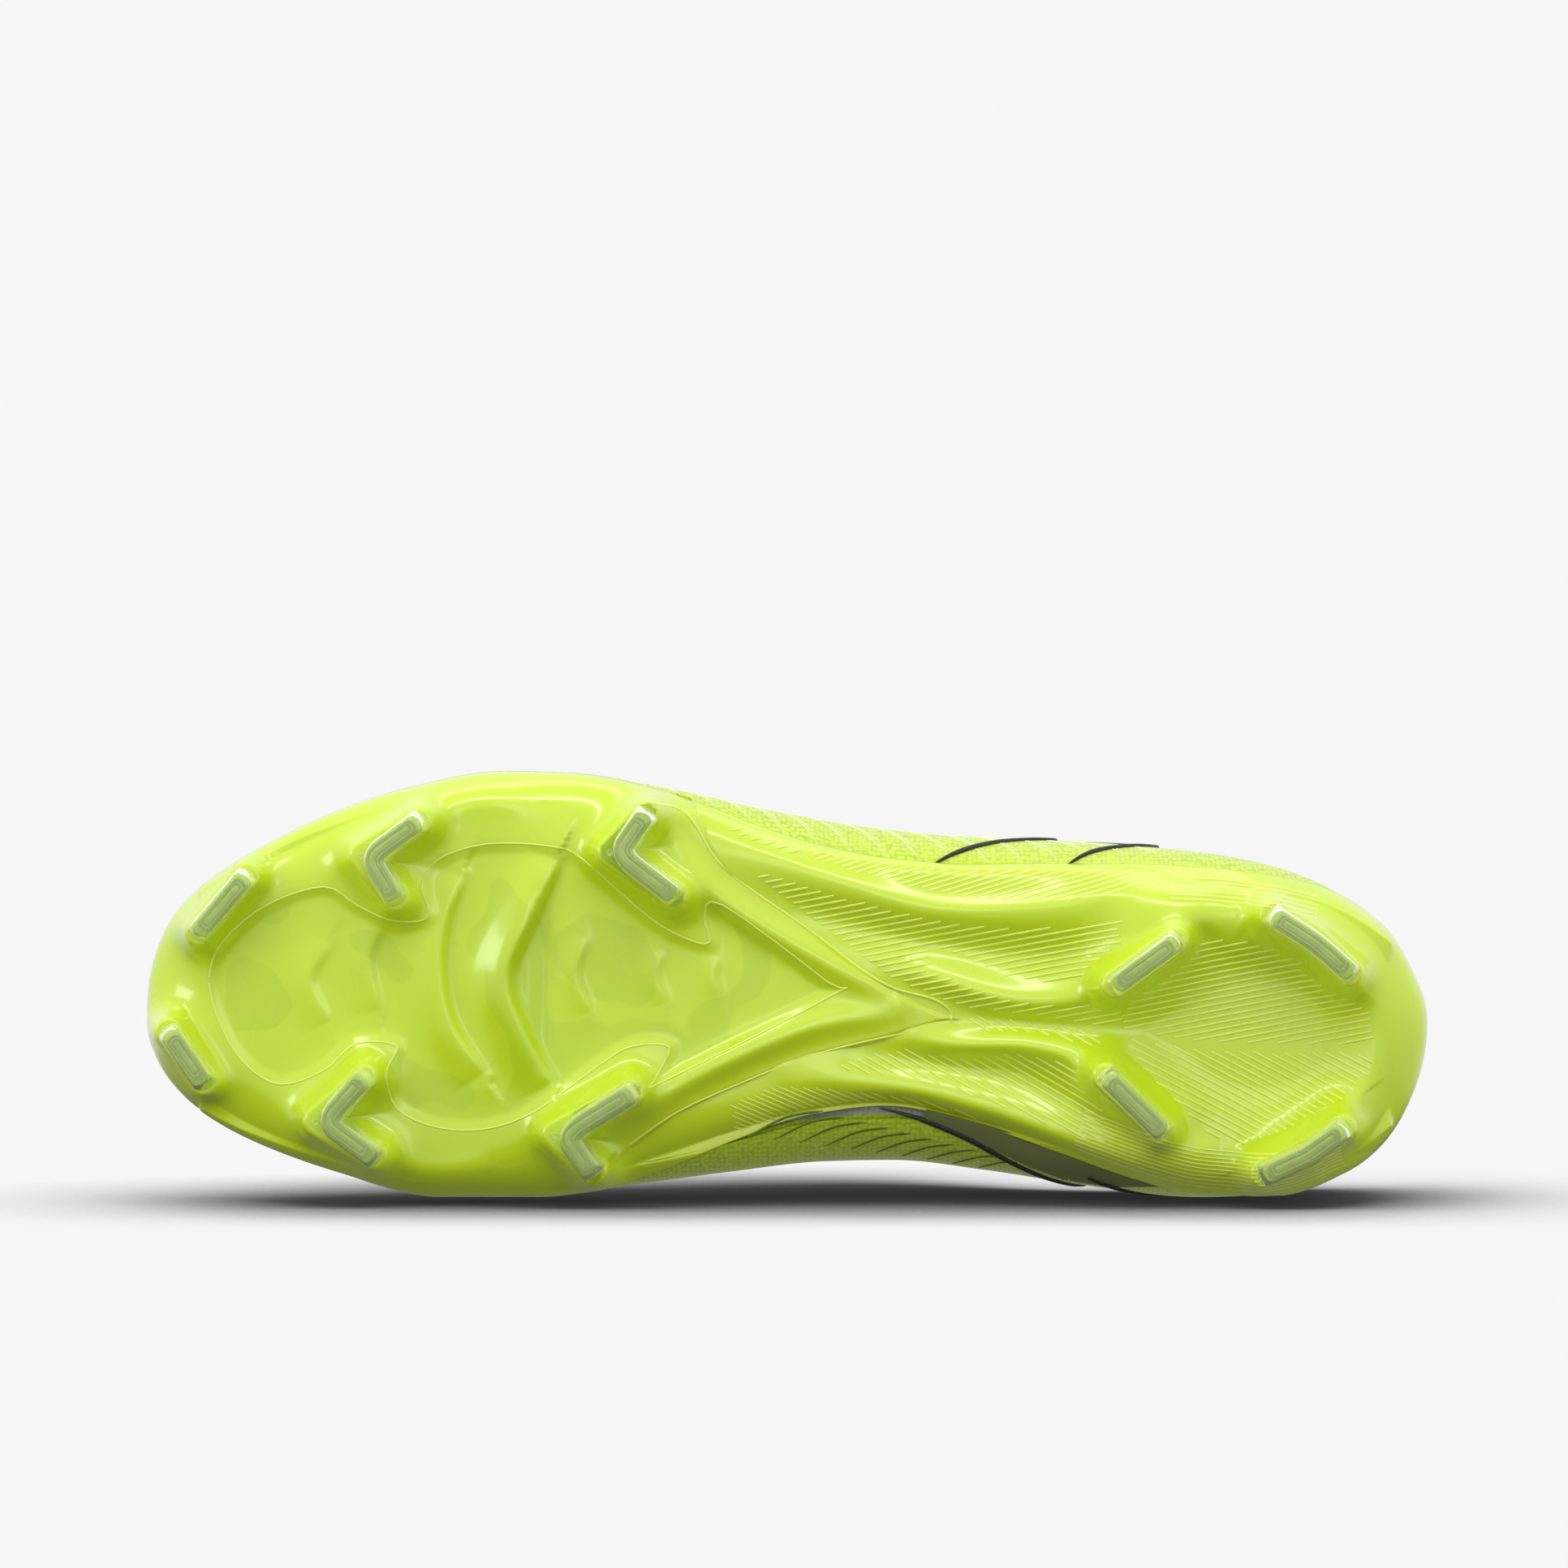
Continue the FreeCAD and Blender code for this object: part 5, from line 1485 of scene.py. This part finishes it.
def eyestays():
    """Bonded film facings beside the lacing slot, with a double row of stitches."""
    for name, side in (("lateral", 1), ("medial", -1)):
        rows = []
        for reach, lift in EYESTAY_SECTION:
            x, y = throat_side(side, reach, EYESTAY_STEPS)
            rows.append(roof_point(x, y, np.full(x.shape, lift)))
        grid = np.stack(rows)
        piece = mesh_object("eyestay_film_" + name, grid, grid_faces(*grid.shape[:2]), EYESTAY)
        finish_piece(piece, ("eyestay_" + name,))
        stitches = []
        for reach in (12.6, 22.4):
            x, y = throat_side(side, reach, EYESTAY_STEPS)
            path = roof_point(x, y, np.full(x.shape, 0.95))
            length = np.concatenate([[0], np.cumsum(np.linalg.norm(np.diff(path, axis=0), axis=1))])
            for start in np.arange(1.0, length[-1] - 3, STITCH_PITCH):
                at = np.linspace(start, start + STITCH_LENGTH, 4)
                points = np.stack([np.interp(at, length, path[:, k]) for k in range(3)], -1)
                stitches.append(stitch(points, roof_normal(points[:, 0], points[:, 1])))
        finish_piece(strips_object("eyestay_stitching_" + name, stitches, STREAK))


def eyelet_rings():
    """A rounded ring round each eyelet."""
    for name, side in (("lateral", 1), ("medial", -1)):
        rings = []
        for x in EYELET_STATIONS:
            y = ridge_y(x) + side * EYELET_OFFSET
            centre, normal = roof_point(x, y, np.array(0.9)), roof_normal(x, y)
            first = unit(np.cross(normal, [0.0, 1.0, 0.0]))
            second = np.cross(normal, first)
            around = np.linspace(0, 2 * math.pi, 25)[:-1]
            spoke = first * np.cos(around)[:, None] + second * np.sin(around)[:, None]
            tube = np.linspace(0, 2 * math.pi, 11)[:-1]
            rings.append(np.stack([centre + spoke * (EYELET_RING + EYELET_TUBE * math.cos(a))
                                   + normal * (0.35 + EYELET_TUBE * math.sin(a)) for a in tube], 1))
        points, faces = joined_grids(np.stack(rings), wrap_rows=True, wrap_columns=True)
        piece = mesh_object("eyelet_rings_" + name, points, faces, EYELET)
        finish_piece(piece, ("eyelets_" + name,))


def lace_crossing(x_start, x_end, side, hump):
    """A flat braided lace between two eyelets, dipping into both."""
    t = np.linspace(0, 1, 26)
    x = x_start + (x_end - x_start) * t
    y = ridge_y(x) + side * EYELET_OFFSET * (1 - 2 * t)
    dip = np.clip(np.minimum(t, 1 - t) / 0.07, 0, 1)
    lift = 0.7 + 1.7 * np.sin(dip * math.pi / 2) + hump * np.sin(math.pi * t)
    points = roof_point(x, y, lift)
    normals = roof_normal(x, y)
    across = unit(np.cross(normals, unit(np.gradient(points, axis=0))))
    around = np.linspace(0, 2 * math.pi, 13)[:-1]
    width = 1.5 + 0.95 * dip
    return np.stack([points + across * (np.sign(math.cos(a)) * abs(math.cos(a)) ** 0.6 * width)[:, None]
                     + normals * 0.62 * math.sin(a) for a in around], 1)


def laces():
    """The bar at the front and the two lace ends that cross between every pair of eyelets."""
    runs = [lace_crossing(EYELET_STATIONS[0], EYELET_STATIONS[0], 1, 0.4)]
    for front_x, back_x in zip(EYELET_STATIONS, EYELET_STATIONS[1:]):
        runs.append(lace_crossing(front_x, back_x, -1, 0.4))
        runs.append(lace_crossing(front_x, back_x, 1, 1.9))
    points, faces = joined_grids(np.stack(runs), wrap_columns=True)
    finish_piece(mesh_object("lace_crossings", points, faces, LACE), ("lace",))


# ------------------------------------------------------------------ pull tab (mm)
TAB_WIDTH = 14.0
TAB_HEIGHT = 19.0
TAB_DEPTH = 7.6
TAB_WALL = 1.3
TAB_BASE_Z = 72.3
TAB_BACK_X = -138.6
ANCHOR_LOW_Z = 46.0
FOLD_RADIUS = 1.3


def pull_tab():
    """A webbing loop that stands on the heel's top edge."""
    radius = (TAB_DEPTH - TAB_WALL) / 2
    x_mid = TAB_BACK_X + TAB_DEPTH / 2
    low, high = TAB_BASE_Z + TAB_WALL / 2, TAB_BASE_Z + TAB_HEIGHT - TAB_DEPTH / 2
    arc = np.linspace(0, math.pi, 15)
    route = [(x_mid + radius * math.cos(a), high + radius * math.sin(a)) for a in arc]
    route += [(x_mid - radius, z) for z in np.linspace(high, low + 1.2, 9)[1:]]
    route += [(x_mid - radius + 0.6, low), (x_mid, low - 0.1), (x_mid + radius - 0.6, low)]
    route += [(x_mid + radius, z) for z in np.linspace(low + 1.2, high, 9)[:-1]]
    route = np.array(route)
    ahead = unit(np.roll(route, -1, axis=0) - np.roll(route, 1, axis=0))
    out = np.column_stack([ahead[:, 1], -ahead[:, 0]])
    centre_y = float(ridge_y(-HALF_LENGTH))
    sections = []
    for a in np.linspace(0, 2 * math.pi, 17)[:-1]:
        offset = math.copysign(abs(math.sin(a)) ** 0.5, math.sin(a)) * TAB_WALL / 2
        y = centre_y + math.copysign(abs(math.cos(a)) ** 0.35, math.cos(a)) * TAB_WIDTH / 2
        spot = route + out * offset
        sections.append(np.column_stack([spot[:, 0], np.full(len(spot), y), spot[:, 1]]))
    points = np.stack(sections, 1)
    piece = mesh_object("pull_tab_loop", points, grid_faces(len(route), 16, True, True), WEBBING)
    finish_piece(piece, ("pull_tab",), "pull_tab")


def pull_tab_anchor():
    """The webbing's sewn-down end on the back of the heel, which runs up over the binding."""
    rows, columns = 20, 15
    reach = np.linspace(-0.034, 0.046, columns)
    z = np.linspace(ANCHOR_LOW_Z, TAB_BASE_Z - 0.15, rows)
    grid = ring_point(np.abs(reach)[None, :], np.where(reach < 0, -1.0, 1.0)[None, :], z[:, None], 0.0)
    rim = np.minimum(1, np.minimum(np.arange(columns), np.arange(columns)[::-1]))[None, :, None]
    rim = rim * np.minimum(1, np.minimum(np.arange(rows), np.arange(rows)[::-1]))[:, None, None]
    away = 1.5 * smoothstep(67.0, 72.0, z)[:, None, None]
    piece = mesh_object("pull_tab_patch", grid + outward(grid) * (1.2 * rim - 0.3 + away),
                        grid_faces(rows, columns), WEBBING)
    finish_piece(piece, ("pull_tab_anchor",))
    stitches = []
    for height in (1.6, 20.4):
        for step in np.arange(-0.029, 0.038, 0.008):
            at = np.linspace(step, step + 0.0055, 4)
            run = ring_point(np.abs(at), np.where(at < 0, -1.0, 1.0), np.full(4, ANCHOR_LOW_Z + height), 0.0)
            run[:, 0] -= 0.85
            stitches.append(stitch(run, np.tile([-1.0, 0.0, 0.0], (4, 1))))
    finish_piece(strips_object("pull_tab_stitching", stitches, STREAK))


def pull_tab_fold():
    """The rolled fold of webbing on the tab's hinge line, between the loop and its sewn-down end."""
    along = np.linspace(-0.5, 0.5, 13)
    around = np.linspace(0, 2 * math.pi, 25)[:-1]
    y = float(ridge_y(-HALF_LENGTH)) + TAB_WIDTH * along
    radius = FOLD_RADIUS * np.sqrt(np.clip(1 - (2 * np.abs(along)) ** 8, 0.01, 1))
    points = np.stack([np.column_stack([TAB_BACK_X + r * np.cos(around), np.full(around.shape, at),
                                        TAB_BASE_Z + r * np.sin(around)]) for r, at in zip(radius, y)])
    piece = mesh_object("pull_tab_fold", points, grid_faces(*points.shape[:2], wrap_columns=True), WEBBING)
    finish_piece(piece)


# ------------------------------------------------------------------ assembly
forefoot_plate()
heel_chassis()
chassis_ribs()
plate_lines()
for stud in STUDS:
    stud_tip(*stud)
upper_knit()
support_cords()
pale_strands()
feather_grooves()
olive_band()
collar()
heel_lining()
insole()
tongue()
eyestays()
eyelet_rings()
laces()
pull_tab()
pull_tab_anchor()
pull_tab_fold()
